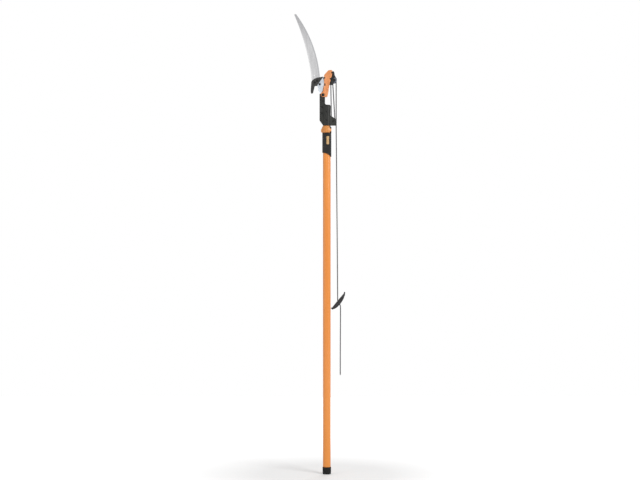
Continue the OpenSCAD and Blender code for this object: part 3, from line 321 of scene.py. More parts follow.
# rope: the braid's colour follows the rope's own UV map, u round it and v along it in metres
ropeSetup = {
    "radius": 0.0025,
    "sides": 24,
    "step": 0.0006,        # ring spacing
    "strands": 6,          # strands each way round
    "pick": 0.0028,        # length of one crossing
    "relief": 0.00034,
    "dipHeight": 0.55,     # share of the relief where a strand dips under, and what its arch adds
    "archHeight": 0.45,
    "pathEvery": 8,        # rings from one point of the declared path to the next
    "dark": srgb(50, 50, 53),
    "light": srgb(94, 93, 96),
    "fleck": srgb(30, 30, 33),
    "fleckEvery": 6,       # strands from one dark fleck to the next
    "fleckShare": 0.7,
    "mottle": 900,
    "mottleShare": 0.7,
    "strandShare": 0.22,   # difference in tone between the two ways round
    "fibres": 18,
    "fuzz": 2600,
    "rough": 0.8,
    "sheen": 0.2,
    "sheenRough": 0.5,
}


def ropeFinish():
    material, tree, shader = newFinish("ropeBraid")
    uv = tree.nodes.new("ShaderNodeUVMap")
    uv.uv_map = "ropeWay"
    parts = tree.nodes.new("ShaderNodeSeparateXYZ")
    tree.links.new(uv.outputs["UV"], parts.inputs[0])
    around = mathNode(tree, "MULTIPLY", parts.outputs["X"], ropeSetup["strands"])
    along = mathNode(tree, "MULTIPLY", parts.outputs["Y"], 1 / ropeSetup["pick"])
    rising = mathNode(tree, "ADD", around, along)
    falling = mathNode(tree, "SUBTRACT", around, along)
    strand = mathNode(tree, "FLOOR", rising)
    crossing = mathNode(tree, "FLOOR", falling)
    parity = mathNode(tree, "FLOORED_MODULO", mathNode(tree, "ADD", strand, crossing), 2)
    tone = mathNode(tree, "MULTIPLY", noiseOn(tree, ropeSetup["mottle"]), ropeSetup["mottleShare"])
    tone = mathNode(tree, "ADD", tone, mathNode(tree, "MULTIPLY", parity, ropeSetup["strandShare"]))
    colour = colourRamp(tree, tone, [(0.2, ropeSetup["dark"]), (0.62, ropeSetup["light"])])
    flecked = mathNode(tree, "FLOORED_MODULO", strand, ropeSetup["fleckEvery"])
    flecked = mathNode(tree, "LESS_THAN", flecked, 0.5)
    onTop = mathNode(tree, "MULTIPLY", mathNode(tree, "SUBTRACT", 1, parity), ropeSetup["fleckShare"])
    flecked = mathNode(tree, "MULTIPLY", flecked, onTop)
    tree.links.new(mixColour(tree, flecked, colour, ropeSetup["fleck"]), shader.inputs["Base Color"])
    fibres = mathNode(tree, "MULTIPLY", mathNode(tree, "ADD", rising, falling), ropeSetup["fibres"])
    fibres = mathNode(tree, "SINE", fibres)
    reliefOn(tree, shader, mathNode(tree, "ADD", fibres, noiseOn(tree, ropeSetup["fuzz"])), 0.3, 0.0002)
    shader.inputs["Roughness"].default_value = ropeSetup["rough"]
    shader.inputs["Sheen Weight"].default_value = ropeSetup["sheen"]
    shader.inputs["Sheen Roughness"].default_value = ropeSetup["sheenRough"]
    return material


finish["ropeBraid"] = ropeFinish()
print("finishes mixed:", len(finish))


def evenly(points, step):
    lengths = [0]
    for a, b in zip(points, points[1:]):
        lengths.append(lengths[-1] + (b - a).length)
    count = max(2, round(lengths[-1] / step))
    spaced, k = [], 0
    for i in range(count + 1):
        want = lengths[-1] * i / count
        while k < len(points) - 2 and lengths[k + 1] < want:
            k += 1
        share = (want - lengths[k]) / max(lengths[k + 1] - lengths[k], 1e-9)
        spaced.append(points[k].lerp(points[k + 1], share))
    return spaced, lengths[-1]


def braidRelief(around, along):
    rising = ropeSetup["strands"] * around + along / ropeSetup["pick"]
    falling = ropeSetup["strands"] * around - along / ropeSetup["pick"]
    risingOnTop = (math.floor(rising) + math.floor(falling)) % 2 == 0
    across, lengthwise = (rising, falling) if risingOnTop else (falling, rising)
    crown = 1 - (2 * (across % 1) - 1) ** 2
    arch = 1 - (2 * (lengthwise % 1) - 1) ** 2
    return crown * (ropeSetup["dipHeight"] + ropeSetup["archHeight"] * arch)


def tubeAlong(name, points, radius, sides, reliefAt=None, startAt=0):
    verts, faces, uvs = [], [], []
    sideways = Vector((0, 1, 0))
    along = startAt
    for i, point in enumerate(points):
        ahead = (points[min(i + 1, len(points) - 1)] - points[max(i - 1, 0)]).normalized()
        out = ahead.cross(sideways).normalized()
        up = out.cross(ahead)
        if i:
            along += (point - points[i - 1]).length
        for j in range(sides):
            angle = 2 * math.pi * j / sides
            r = radius - (ropeSetup["relief"] * (1 - reliefAt(j / sides, along)) if reliefAt else 0)
            verts.append(point + r * (math.cos(angle) * out + math.sin(angle) * up))
        uvs.append(along)
    for i in range(len(points) - 1):
        for j in range(sides):
            k = (j + 1) % sides
            faces.append((i * sides + j, i * sides + k, (i + 1) * sides + k, (i + 1) * sides + j))
    last = (len(points) - 1) * sides
    faces.append(tuple(range(sides - 1, -1, -1)))
    faces.append(tuple(range(last, last + sides)))
    mesh = bpy.data.meshes.new(name)
    mesh.from_pydata(verts, [], faces)
    layer = mesh.uv_layers.new(name="ropeWay")
    for face in mesh.polygons:
        for loop in face.loop_indices:
            corner = mesh.loops[loop].vertex_index
            u = (corner % sides) / sides
            if face.index < len(faces) - 2 and face.index % sides == sides - 1 and corner % sides == 0:
                u = 1
            layer.data[loop].uv = (u, uvs[corner // sides])
    for face in mesh.polygons:
        face.use_smooth = face.index < len(faces) - 2
    piece = bpy.data.objects.new(name, mesh)
    scene.collection.objects.link(piece)
    return piece


def ropePiece(name, points, startAt):
    spaced, length = evenly(points, ropeSetup["step"])
    piece = tubeAlong(name, spaced, ropeSetup["radius"], ropeSetup["sides"], braidRelief, startAt)
    piece.data.materials.append(finish["ropeBraid"])
    return piece, spaced[::ropeSetup["pathEvery"]] + [spaced[-1]], length


# rope at the head: from the knot round both pulleys to the ear
reeve = {
    "knot": Vector((0.019, 0, 1.8545)),
    "lower": Vector((0.0305, 0, 1.675)),
    "upper": Vector((0.036, 0, 1.87)),
    "pulley": 0.0085,
    "ear": Vector((0.0445, 0, 1.6543)),
    "turnSteps": 40,
    "endGap": 0.00006,     # each stretch stops this short at both ends
}


def onRim(centre, degrees):
    angle = math.radians(degrees)
    return centre + reeve["pulley"] * Vector((math.cos(angle), 0, math.sin(angle)))


toLower = reeve["lower"] - reeve["knot"]
toLower = math.degrees(math.atan2(toLower.z, toLower.x) - math.asin(reeve["pulley"] / toLower.length))
toUpper = reeve["upper"] - reeve["lower"]
toUpper = math.degrees(math.atan2(toUpper.z, toUpper.x) + math.asin(2 * reeve["pulley"] / toUpper.length))
lowerTurn, upperTurn = [], []
for i in range(reeve["turnSteps"] + 1):
    lowerTurn.append(onRim(reeve["lower"], toLower - 90 + (toUpper - toLower) * i / reeve["turnSteps"]))
    upperTurn.append(onRim(reeve["upper"], toUpper + 90 - (toUpper + 90) * i / reeve["turnSteps"]))
# held is the end of the way that stays put, keep the share of its length that a full pull leaves
swingRuns = {
    "ropeDead": {
        "way": [reeve["knot"], lowerTurn[0]], "body": "dead_run", "node": "rope_dead",
        "held": 1, "keep": 0.634,
    },
    "ropeLowerTurn": {"way": lowerTurn, "body": "lower_turn", "node": "rope_lower_turn"},
    "ropeMiddle": {
        "way": [lowerTurn[-1], upperTurn[0]], "body": "mid_run", "node": "rope_middle",
        "held": 0, "keep": 0.56,
    },
    "ropeUpperTurn": {"way": upperTurn, "body": "upper_turn", "node": "rope_upper_turn"},
    "ropeLead": {
        "way": [upperTurn[-1], reeve["ear"]], "body": "lead_run", "node": "rope_lead",
        "held": 1, "keep": 0.585,
    },
}
ropeAt = 0
ropeRuns = {}
for name, run in swingRuns.items():
    trim = reeve["endGap"] * (run["way"][1] - run["way"][0]).normalized()
    back = reeve["endGap"] * (run["way"][-1] - run["way"][-2]).normalized()
    way = [run["way"][0] + trim] + run["way"][1:-1] + [run["way"][-1] - back]
    piece, path, length = ropePiece(name, way, ropeAt)
    ropeAt += length
    ropeRuns[name] = (piece, path, length)
    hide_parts(run["node"])
    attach(piece, run["body"])
    if "keep" in run:
        ends = (run["way"][0], run["way"][-1])
        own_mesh(piece)

for name, turns in (("ropeDead", ["ropeLowerTurn"]), ("ropeMiddle", ["ropeUpperTurn"]), ("ropeLead", [])):
    piece, path, length = ropeRuns[name]

# hanging rope: from the ear to the handle and on to its sealed end
hangingRope = {
    "points": [(44.5, 1654.2), (44.5, 1640.5), (44.9, 1600), (46, 1500), (47.2, 1360), (48.4, 1220),
               (49.6, 1080), (50.6, 960), (51.2, 880), (51.6, 840), (52.5, 822), (63.5, 801), (65, 780),
               (65, 740), (64.6, 680), (64.2, 610), (64, 540), (64, 484)],   # millimetres
    "intoHandle": 10,      # the point where it meets the handle
    "steps": 12,           # places from one point to the next
}


def curvedWay(points, steps):
    way = []
    for i in range(len(points) - 1):
        a, b = points[max(i - 1, 0)], points[i]
        c, d = points[i + 1], points[min(i + 2, len(points) - 1)]
        for k in range(steps):
            t = k / steps
            place = 2 * b + (c - a) * t
            place = place + (2 * a - 5 * b + 4 * c - d) * t * t
            way.append((place + (3 * b - a - 3 * c + d) * t ** 3) / 2)
    return way + [points[-1]]


routePoints = [Vector((x / 1000, 0, z / 1000)) for x, z in hangingRope["points"]]
whole = curvedWay(routePoints, hangingRope["steps"])
split = hangingRope["intoHandle"] * hangingRope["steps"] + hangingRope["steps"] // 2
ropeHaul, haulPath, haulLength = ropePiece("ropeHaul", whole[:split + 1], ropeAt)
ropeTail, tailPath, tailLength = ropePiece("ropeTail", whole[split:], ropeAt + haulLength)
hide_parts("rope_haul")
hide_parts("rope_haul")
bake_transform(ropeHaul)
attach(ropeTail, "pull_rope")
print("rope laid: %.3f m at the head, %.3f m to the handle, %.3f m below it"
      % (ropeAt, haulLength, tailLength))

# knot that stops the rope on the bracket, with a short cut end
knotSetup = {
    "seat": Vector((0.019, 0, 1.8545)),
    "rise": 0.0039,
    "size": 0.00095,
    "weave": 1.15,         # how far the strands pass over each other, in sizes
    "steps": 96,
    "endShift": (0.0005, 0.0008),
    "endSteps": [(0, 0, 0), (0.0004, 0, 0.005), (0.0014, 0.0002, 0.010)],
    "loopBraid": 0.1,      # where along the braid the loop and the cut end begin
    "endBraid": 0.2,
}


def knotLoop(setup):
    size, rise = setup["size"], setup["rise"]
    way = []
    for i in range(setup["steps"] + 1):
        t = 2 * math.pi * i / setup["steps"]
        way.append(setup["seat"] + Vector((size * (math.sin(t) + 2 * math.sin(2 * t)),
                                           size * (math.cos(t) - 2 * math.cos(2 * t)),
                                           rise - setup["weave"] * size * math.sin(3 * t))))
    return way


ropeKnot, _, _ = ropePiece("ropeKnot", knotLoop(knotSetup), knotSetup["loopBraid"])
knotTop = knotSetup["seat"] + Vector((*knotSetup["endShift"], knotSetup["rise"]))
endWay = [knotTop + Vector(step) for step in knotSetup["endSteps"]]
knotEnd, _, _ = ropePiece("knotEnd", endWay, knotSetup["endBraid"])
deselectAll()
knotEnd.select_set(True)
ropeKnot.select_set(True)
bpy.context.view_layer.objects.active = ropeKnot
bpy.ops.object.join()
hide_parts("rope_knot")
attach(ropeKnot, "lever")

# sealed end of the rope: a melted, slightly tapered tip
tipSetup = {
    "x": 0.064,
    "top": 0.484,
    "radius": 0.0025,
    "sides": 24,
    "collar": 0.004,       # height of its straight part
    "taper": [(0.003, 0.93), (0.004, 0.8), (0.003, 0.66), (0.001, 0.5)],   # drop and shrink of each step
    "crease": 50,          # degrees
}
deselectAll()
bpy.ops.mesh.primitive_cylinder_add(vertices=tipSetup["sides"], radius=tipSetup["radius"],
                                    depth=tipSetup["collar"], end_fill_type="NGON",
                                    location=(tipSetup["x"], 0, tipSetup["top"] - tipSetup["collar"] / 2))
ropeTip = bpy.context.object
ropeTip.name = "ropeTip"
applyPlacement()
unselectMesh("FACE")
for face in ropeTip.data.polygons:
    face.select = face.normal.z < -0.9
setMode("EDIT")
tipLow = tipSetup["top"] - tipSetup["collar"]
for drop, shrink in tipSetup["taper"]:
    bpy.ops.mesh.extrude_region_move(TRANSFORM_OT_translate={"value": (0, 0, -drop)})
    tipLow -= drop
    bpy.ops.transform.resize(value=(shrink, shrink, 1), center_override=(tipSetup["x"], 0, tipLow))
setMode("OBJECT")
bpy.ops.object.shade_smooth_by_angle(angle=math.radians(tipSetup["crease"]))
ropeTip.data.materials.append(finish["ropeSeal"])
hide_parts("rope_tip")
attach(ropeTip, "pull_rope")

# pull handle: a crescent, straight on the fingers' side and ribbed for the grip,
# with a nub turned out at each end
handleSetup = {
    "origin": Vector((0.024, 0, 0.789)),
    "aim": 50.5,           # degrees from level
    "low": -0.0035,
    "high": 0.091,
    "width": 0.020,
    "depth": 0.018,
    "crown": 0.0008,
    "bellyShift": 0.85,    # under 1 moves the thickest place towards the low end
    "bluntness": 0.45,     # under 1 fills out the ends
    "depthFade": 0.8,
    "stations": 72,
    "endTrim": 0.7,        # stations left off at each end
    "sides": 32,
    "ribs": 12,
    "ribDepth": 0.0006,
    "ribMiddle": 0.46,     # middle and half length of the ribbed part, as shares of the handle
    "ribReach": 0.32,
    "nubRadius": 0.0033,
    "nubSides": 24,
    "nubs": [((-0.0012, -0.006), (-0.0017, -0.0001)),   # along and across, from root to tip
             ((0.083, -0.0074), (0.0947, -0.0001))],
    "hole": 0.0033,        # radius of the rope's hole
    "holeLength": 0.09,
    "crease": 40,          # degrees
    "ropeIn": Vector((0.0525, 0, 0.822)),
    "ropeOut": Vector((0.0635, 0, 0.801)),
}


def handleStation(i):
    trim = handleSetup["endTrim"]
    share = (1 - math.cos(math.pi * (i + trim) / (handleSetup["stations"] + 2 * trim))) / 2
    full = math.sin(math.pi * share ** handleSetup["bellyShift"]) ** handleSetup["bluntness"]
    half = handleSetup["width"] / 2 * full
    gripped = max(0, 1 - abs(share - handleSetup["ribMiddle"]) / handleSetup["ribReach"]) ** 0.5
    rib = handleSetup["ribDepth"] * gripped * (1 - math.cos(2 * math.pi * handleSetup["ribs"] * share))
    along = handleSetup["low"] + (handleSetup["high"] - handleSetup["low"]) * share
    across = handleSetup["crown"] * math.sin(math.pi * share) - half
    return along, across, half, handleSetup["depth"] / 2 * full ** handleSetup["depthFade"] - rib


deselectAll()
x0, z0, half0, deep0 = handleStation(0)
bpy.ops.mesh.primitive_circle_add(vertices=handleSetup["sides"], radius=1, fill_type="NGON",
                                  rotation=(0, math.radians(90), 0))
pullHandle = bpy.context.object
pullHandle.name = "pullHandle"
applyPlacement()
setMode("EDIT")
bpy.ops.mesh.select_all(action="SELECT")
bpy.ops.transform.resize(value=(1, deep0, half0), center_override=(0, 0, 0))
bpy.ops.transform.translate(value=(x0, 0, z0))
for i in range(1, handleSetup["stations"] + 1):
    x, z, half, deep = handleStation(i)
    bpy.ops.mesh.extrude_region_move(TRANSFORM_OT_translate={"value": (x - x0, 0, z - z0)})
    bpy.ops.transform.resize(value=(1, deep / deep0, half / half0), center_override=(x, 0, z))
    x0, z0, half0, deep0 = x, z, half, deep
bpy.ops.mesh.select_all(action="SELECT")
bpy.ops.mesh.normals_make_consistent(inside=False)
setMode("OBJECT")
for start, end in handleSetup["nubs"]:
    reach = Vector((end[0] - start[0], 0, end[1] - start[1]))
    deselectAll()
    bpy.ops.mesh.primitive_uv_sphere_add(segments=handleSetup["nubSides"],
                                         ring_count=handleSetup["nubSides"] // 2,
                                         radius=handleSetup["nubRadius"])
    nub = bpy.context.object
    unselectMesh("VERT")
    for vertex in nub.data.vertices:
        vertex.select = vertex.co.z > nearly
    setMode("EDIT")
    bpy.ops.transform.translate(value=(0, 0, reach.length))
    setMode("OBJECT")
    nub.rotation_euler = (0, math.atan2(reach.x, reach.z), 0)
    nub.location = (start[0], 0, start[1])
    applyPlacement()
    combine(pullHandle, nub, "UNION")
makeActive(pullHandle)
pullHandle.rotation_euler = (0, -math.radians(handleSetup["aim"]), 0)
pullHandle.location = handleSetup["origin"]
applyPlacement()
through = handleSetup["ropeOut"] - handleSetup["ropeIn"]
deselectAll()
bpy.ops.mesh.primitive_cylinder_add(vertices=handleSetup["sides"], radius=handleSetup["hole"],
                                    depth=handleSetup["holeLength"],
                                    location=(handleSetup["ropeIn"] + handleSetup["ropeOut"]) / 2,
                                    rotation=(0, math.atan2(through.x, through.z), 0))
combine(pullHandle, bpy.context.object, "DIFFERENCE")
makeActive(pullHandle)
bpy.ops.object.shade_smooth_by_angle(angle=math.radians(handleSetup["crease"]))
pullHandle.data.materials.append(finish["handleBlack"])
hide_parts("pull_handle")
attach(pullHandle, "pull_rope")

print("knot, sealed end and handle made")

# return spring on the lever's bush, with a foot towards the head and a leg towards the lever; the piece is
# fixed in place and its leg does not follow the lever
returnSpring = {
    "pivot": Vector((-0.0185, 0.0034, 1.8)),
    "radius": 0.0078,
    "wire": 0.0007,
    "rise": 0.0042,
    "sweep": 695.44,       # degrees
    "steps": 120,
    "sides": 12,
    "foot": 0.022,
    "footSteps": 12,
    "leg": 0.0478,
    "legSteps": 20,
}


def coilWay(setup):
    steps = setup["steps"]
    way = []
    for i in range(steps + 1):
        angle = math.radians(setup["sweep"] * i / steps)
        way.append(setup["pivot"] + Vector((setup["radius"] * math.cos(angle), setup["rise"] * i / steps,
                                            setup["radius"] * math.sin(angle))))
    return way


turns = coilWay(returnSpring)
lastAngle = math.radians(returnSpring["sweep"])
legAim = Vector((-math.sin(lastAngle), 0, math.cos(lastAngle)))
footWay = [turns[0] - Vector((0, 0, returnSpring["foot"] * (1 - i / returnSpring["footSteps"])))
           for i in range(returnSpring["footSteps"])]
legWay = [turns[-1] + legAim * returnSpring["leg"] * (i + 1) / returnSpring["legSteps"]
          for i in range(returnSpring["legSteps"])]
leverSpring = tubeAlong("leverSpring", footWay + turns + legWay, returnSpring["wire"], returnSpring["sides"])
leverSpring.data.materials.append(finish["zincPlate"])
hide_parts("return_spring")
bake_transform(leverSpring)

# small spring behind the release button
buttonSpring = {
    "pivot": Vector((0.0045, -0.02165, 1.596)),
    "radius": 0.0028,
    "wire": 0.0004,
    "rise": 0.0045,
    "sweep": 1080,
    "steps": 90,
    "sides": 10,
}
buttonCoil = tubeAlong("buttonCoil", coilWay(buttonSpring), buttonSpring["wire"], buttonSpring["sides"])
buttonCoil.data.materials.append(finish["zincPlate"])
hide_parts("button_spring")
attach(buttonCoil, "pole")
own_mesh(buttonCoil)
print("springs wound")


# CAD nodes: seams merged, edges eased and shaded smooth, all by live modifiers
easing = {
    "seamGap": 0.000004,   # points nearer than this are merged
    "flatWithin": 0.6,     # degrees between faces that count as one
    "easedOver": 36,       # degrees over which an edge is rounded
    "crease": 34,          # degrees over which an edge is shaded sharp
    "plain": 0.0004,       # edge radius where none is named
    "segments": 2,
    "edges": {
        "outer_pole": 0.0003, "end_cap": 0.0006, "lock_housing": 0.0009, "clamp_collar": 0.0006,
        "clamp_lever": 0.0007, "release_button": 0.0004, "head_front": 0.0011, "head_rear": 0.0011,
        "hook": 0.0009, "cutting_blade": 0.0003, "power_lever": 0.0008, "pulley_bracket": 0.0006,
        "drive_link": 0.0004, "lower_pulley": 0.0003, "upper_pulley": 0.0003, "saw_wing_nuts": 0.0006,
        "inner_pole": 0.0002, "slide_plug": 0.0003, "guide_sleeve": 0.0002, "clamp_shoe": 0.0002,
    },
}


def geometryGroup(name):
    group = bpy.data.node_groups.new(name, "GeometryNodeTree")
    group.interface.new_socket("Geometry", in_out="INPUT", socket_type="NodeSocketGeometry")
    group.interface.new_socket("Geometry", in_out="OUTPUT", socket_type="NodeSocketGeometry")
    return group, group.nodes.new("NodeGroupInput"), group.nodes.new("NodeGroupOutput")


def mergeGroup():
    group, start, end = geometryGroup("mergeSeams")
    plain = group.nodes.new("GeometryNodeRemoveAttribute")
    plain.inputs["Name"].default_value = "custom_normal"
    merge = group.nodes.new("GeometryNodeMergeByDistance")
    merge.inputs["Distance"].default_value = easing["seamGap"]
    group.links.new(start.outputs[0], plain.inputs["Geometry"])
    group.links.new(plain.outputs["Geometry"], merge.inputs["Geometry"])
    group.links.new(merge.outputs["Geometry"], end.inputs[0])
    return group


def shadeGroup():
    group, start, end = geometryGroup("shadeByAngle")
    smooth = group.nodes.new("GeometryNodeSetShadeSmooth")
    creases = group.nodes.new("GeometryNodeSetShadeSmooth")
    creases.domain = "EDGE"
    creases.inputs["Shade Smooth"].default_value = False
    angle = group.nodes.new("GeometryNodeInputMeshEdgeAngle")
    over = group.nodes.new("FunctionNodeCompare")
    over.operation = "GREATER_THAN"
    over.inputs[1].default_value = math.radians(easing["crease"])
    group.links.new(start.outputs[0], smooth.inputs["Geometry"])
    group.links.new(smooth.outputs["Geometry"], creases.inputs["Geometry"])
    group.links.new(angle.outputs["Unsigned Angle"], over.inputs[0])
    group.links.new(over.outputs[0], creases.inputs["Selection"])
    group.links.new(creases.outputs["Geometry"], end.inputs[0])
    return group


mergeSeams = mergeGroup()
shadeByAngle = shadeGroup()


def easeEdges(name):
    node = cad[name]
    merge = node.modifiers.new("mergeSeams", "NODES")
    merge.node_group = mergeSeams
    flat = node.modifiers.new("flatFaces", "DECIMATE")
    flat.decimate_type = "DISSOLVE"
    flat.angle_limit = math.radians(easing["flatWithin"])
    ease = node.modifiers.new("easedEdges", "BEVEL")
    ease.width = easing["edges"].get(name, easing["plain"])
    ease.segments = easing["segments"]
    ease.limit_method = "ANGLE"
    ease.angle_limit = math.radians(easing["easedOver"])
    ease.use_clamp_overlap = True
    shade = node.modifiers.new("shadeByAngle", "NODES")
    shade.node_group = shadeByAngle


nodeFinish = {
    "fibreglassOrange": ["outer_pole"],
    "leverOrange": ["power_lever", "lever_link_pin"],
    "clampOrange": ["clamp_lever"],
    "buttonAmber": ["release_button"],
    "mouldedBlack": ["lock_housing", "clamp_collar", "clamp_shoe", "pulley_bracket"],
    "headBlack": ["head_front", "head_rear"],
    "capRubber": ["end_cap"],
    "tubeBlack": ["inner_pole"],
    "hookPaint": ["hook"],
    "boltBlack": ["blade_bolt", "lever_bolt"],
    "cuttingSteel": ["cutting_blade"],
    "zincPlate": ["clamp_pin", "button_pin", "latch_pin", "saw_washers", "saw_wing_nuts", "blade_nut",
                  "lever_nut", "bracket_nuts"],
    "pinBlack": ["lower_axle", "upper_axle", "blade_link_pin"],
    "linkSteel": ["drive_link"],
    "bushBronze": ["lever_bush"],
    "pulleyAcetal": ["lower_pulley", "upper_pulley"],
    "plainPlastic": ["guide_sleeve", "slide_plug"],
}
for name, group in nodeFinish.items():
    for node in group:
        easeEdges(node)
        cad[node].data.materials.clear()
        cad[node].data.materials.append(finish[name])
print("CAD nodes dressed:", sum(len(group) for group in nodeFinish.values()))

# saw: a merged copy of its node, with every tooth's flanks ground, from alternate sides
sawSetup = {
    "heel": Vector((-0.054, 0, 1.893)),
    "length": 0.306,
    "lean": 17.5,          # degrees from upright
    "width": 0.041,
    "end": Vector((0.0105, 0, 0.0013)),   # across its blunt end
    "bow": 0.010,
    "backBow": -0.0215,
    "pitch": 0.0042,
    "toothDepth": 0.0026,
    "front": 0.0025,       # y of its front face
    "thickness": 0.0016,
    "ground": 0.0007,      # width of the ground flanks
    "matchGap": 0.00002,   # how near a mesh point lies to its place on the outline
    "flatWithin": 0.5,     # degrees
    "crease": 12,
    "body": srgb(187, 187, 188),
    "cloud": srgb(203, 203, 204),
    "backBand": srgb(178, 178, 180),
    "toothBand": srgb(210, 210, 211),
    "paintedTipShade": srgb(173, 173, 175),
    "shadedFrom": 2.04,    # height above which painted shade darkens the steel
    "shadedTo": 2.15,
    "backBandWidth": 0.006,
    "toothBandWidth": 0.006,
    "rough": (0.3, 0.46),
    "metal": 0.85,
}


def arcThrough(a, b, bow):
    chord = (b - a).length
    radius = (chord * chord / 4 + bow * bow) / (2 * bow)
    along = (b - a).normalized()
    left = Vector((-along.z, 0, along.x))
    return (a + b) / 2 + left * (bow - radius), radius, along, left, math.asin(chord / 2 / abs(radius))


lean = math.radians(sawSetup["lean"])
sawTip = sawSetup["heel"] + sawSetup["length"] * Vector((-math.sin(lean), 0, math.cos(lean)))
toothTop = sawTip - sawSetup["end"]
toothLow = sawSetup["heel"] - Vector((sawSetup["width"] / 2, 0, 0))
backLow = sawSetup["heel"] + Vector((sawSetup["width"] / 2, 0, 0))
toothCount = math.floor((toothLow - toothTop).length / sawSetup["pitch"])
toothArc = arcThrough(toothTop, toothLow, sawSetup["bow"])
backArc = arcThrough(backLow, sawTip, sawSetup["backBow"])


def toothPoint(i):
    centre, radius, along, left, half = toothArc
    t = -half + half * i / toothCount
    place = centre + radius * (along * math.sin(t) + left * math.cos(t))
    if i % 2 == 1 and i < 2 * toothCount - 3:
        place = place + sawSetup["toothDepth"] * Vector((math.cos(lean), 0, math.sin(lean)))
    return place


def sawFinish():
    material, tree, shader = newFinish("sawSteel")
    alongBlade = (0, -lean, 0)

    def fromArc(arc, width, sign):
        coord = tree.nodes.new("ShaderNodeTexCoord")
        centred = tree.nodes.new("ShaderNodeMapping")
        centred.inputs["Location"].default_value = (-arc[0].x, 0, -arc[0].z)
        centred.inputs["Scale"].default_value = (1, 0, 1)
        reach = tree.nodes.new("ShaderNodeVectorMath")
        reach.operation = "LENGTH"
        tree.links.new(coord.outputs["Object"], centred.inputs["Vector"])
        tree.links.new(centred.outputs["Vector"], reach.inputs[0])
        past = mathNode(tree, "SUBTRACT", reach.outputs["Value"], abs(arc[1]))
        inside = mathNode(tree, "MULTIPLY", past, sign)
        return spread(tree, inside, 1, 0, width * 0.8, width * 1.2)

    clouds = colourRamp(tree, noiseOn(tree, 70, (1, 1, 0.15), 3, alongBlade),
                        [(0.3, sawSetup["body"]), (0.7, sawSetup["cloud"])])
    colour = mixColour(tree, fromArc(backArc, sawSetup["backBandWidth"], -1), clouds, sawSetup["backBand"])
    colour = mixColour(tree, fromArc(toothArc, sawSetup["toothBandWidth"], 1), colour, sawSetup["toothBand"])
    place = tree.nodes.new("ShaderNodeTexCoord")
    parts = tree.nodes.new("ShaderNodeSeparateXYZ")
    tree.links.new(place.outputs["Object"], parts.inputs[0])
    # painted shade: the steel's colour darkens towards the saw's tip
    nearTip = spread(tree, parts.outputs["Z"], 0, 1, sawSetup["shadedFrom"], sawSetup["shadedTo"])
    colour = mixColour(tree, nearTip, colour, sawSetup["paintedTipShade"])
    tree.links.new(colour, shader.inputs["Base Color"])
    brushed = noiseOn(tree, 300, (1, 1, 0.03), 3, alongBlade)
    tree.links.new(spread(tree, brushed, *sawSetup["rough"]), shader.inputs["Roughness"])
    reliefOn(tree, shader, noiseOn(tree, 1400, (1, 1, 0.02), 2, alongBlade), 0.1, 0.0002)
    shader.inputs["Metallic"].default_value = sawSetup["metal"]
    return material


sawBlade = bpy.data.objects.new("sawBlade", cad["saw_blade"].data.copy())
scene.collection.objects.link(sawBlade)
makeActive(sawBlade)
bpy.ops.mesh.customdata_custom_splitnormals_clear()
setMode("EDIT")
bpy.ops.mesh.select_mode(type="VERT")
bpy.ops.mesh.select_all(action="SELECT")
bpy.ops.mesh.remove_doubles(threshold=easing["seamGap"])
bpy.ops.mesh.dissolve_limited(angle_limit=math.radians(sawSetup["flatWithin"]))
bpy.ops.mesh.select_mode(type="EDGE")
bpy.ops.mesh.select_all(action="DESELECT")
setMode("OBJECT")
sawFaces = (sawSetup["front"], sawSetup["front"] + sawSetup["thickness"])
outline = [toothPoint(i) for i in range(2 * toothCount - 2)]
corner = {}
for vertex in sawBlade.data.vertices:
    for i, place in enumerate(outline):
        if abs(vertex.co.x - place.x) + abs(vertex.co.z - place.z) < sawSetup["matchGap"]:
            corner[vertex.index] = (i, vertex.co.y > sum(sawFaces) / 2)
for edge in sawBlade.data.edges:
    ends = [corner.get(v) for v in edge.vertices]
    if None in ends or ends[0][1] != ends[1][1] or abs(ends[0][0] - ends[1][0]) != 1:
        continue
    tooth = (min(ends[0][0], ends[1][0]) + 1) // 2
    edge.select = tooth > 0 and (tooth % 2 == 0) == ends[0][1]
flanks = sum(edge.select for edge in sawBlade.data.edges)
setMode("EDIT")
bpy.ops.mesh.bevel(offset=sawSetup["ground"], segments=1, affect="EDGES", clamp_overlap=True)
setMode("OBJECT")
bpy.ops.object.shade_smooth_by_angle(angle=math.radians(sawSetup["crease"]))
sawBlade.data.materials.clear()
sawBlade.data.materials.append(sawFinish())
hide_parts("saw_blade")
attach(sawBlade, "head")
print("saw ground:", flanks, "flanks")

# screws and bolts: merged copies of their nodes with a driver's recess in each head
recesses = {
    "headScrews": {
        "node": "head_screws", "body": "head", "slot": "painted_black", "finish": "boltBlack",
        "kind": "cross", "size": 0.0042, "depth": 0.0013,
        "at": [(-0.023, -0.0084, 1.7125), (-0.023, -0.0084, 1.7425), (-0.018, -0.0084, 1.77)],
    },
    "socketScrews": {
        "node": "socket_screws", "body": "head", "slot": "painted_black", "finish": "boltBlack",
        "kind": "cross", "size": 0.004, "depth": 0.0012,
        "at": [(0, -0.01655, 1.6805), (0, -0.01655, 1.7205), (0, 0.01655, 1.6805), (0, 0.01655, 1.7205)],
    },
    "lockScrews": {
        "node": "lock_screws", "body": "pole", "slot": "steel_zinc", "finish": "zincPlate",
        "kind": "cross", "size": 0.0034, "depth": 0.0011,
        "at": [(0, 0.02005, 1.538), (0, 0.02005, 1.6)],
    },
    "bracketBolts": {
        "node": "bracket_bolts", "body": "lever", "slot": "painted_black", "finish": "boltBlack",
        "kind": "hex", "size": 0.0022, "depth": 0.0014,
        "at": [(0.025, -0.0151, 1.9055), (0.0185, -0.0151, 1.8765)],
    },
    "sawBolts": {
        "node": "saw_bolts", "body": "head", "slot": "painted_black", "finish": "boltBlack",
        "kind": "hex", "size": 0.0026, "depth": 0.0016,
        "at": [(-0.046, -0.0055, 1.8685), (-0.0575, -0.0055, 1.8595)],
    },
}


crossBar = 0.24    # width of a cross recess's bars, as a share of its size


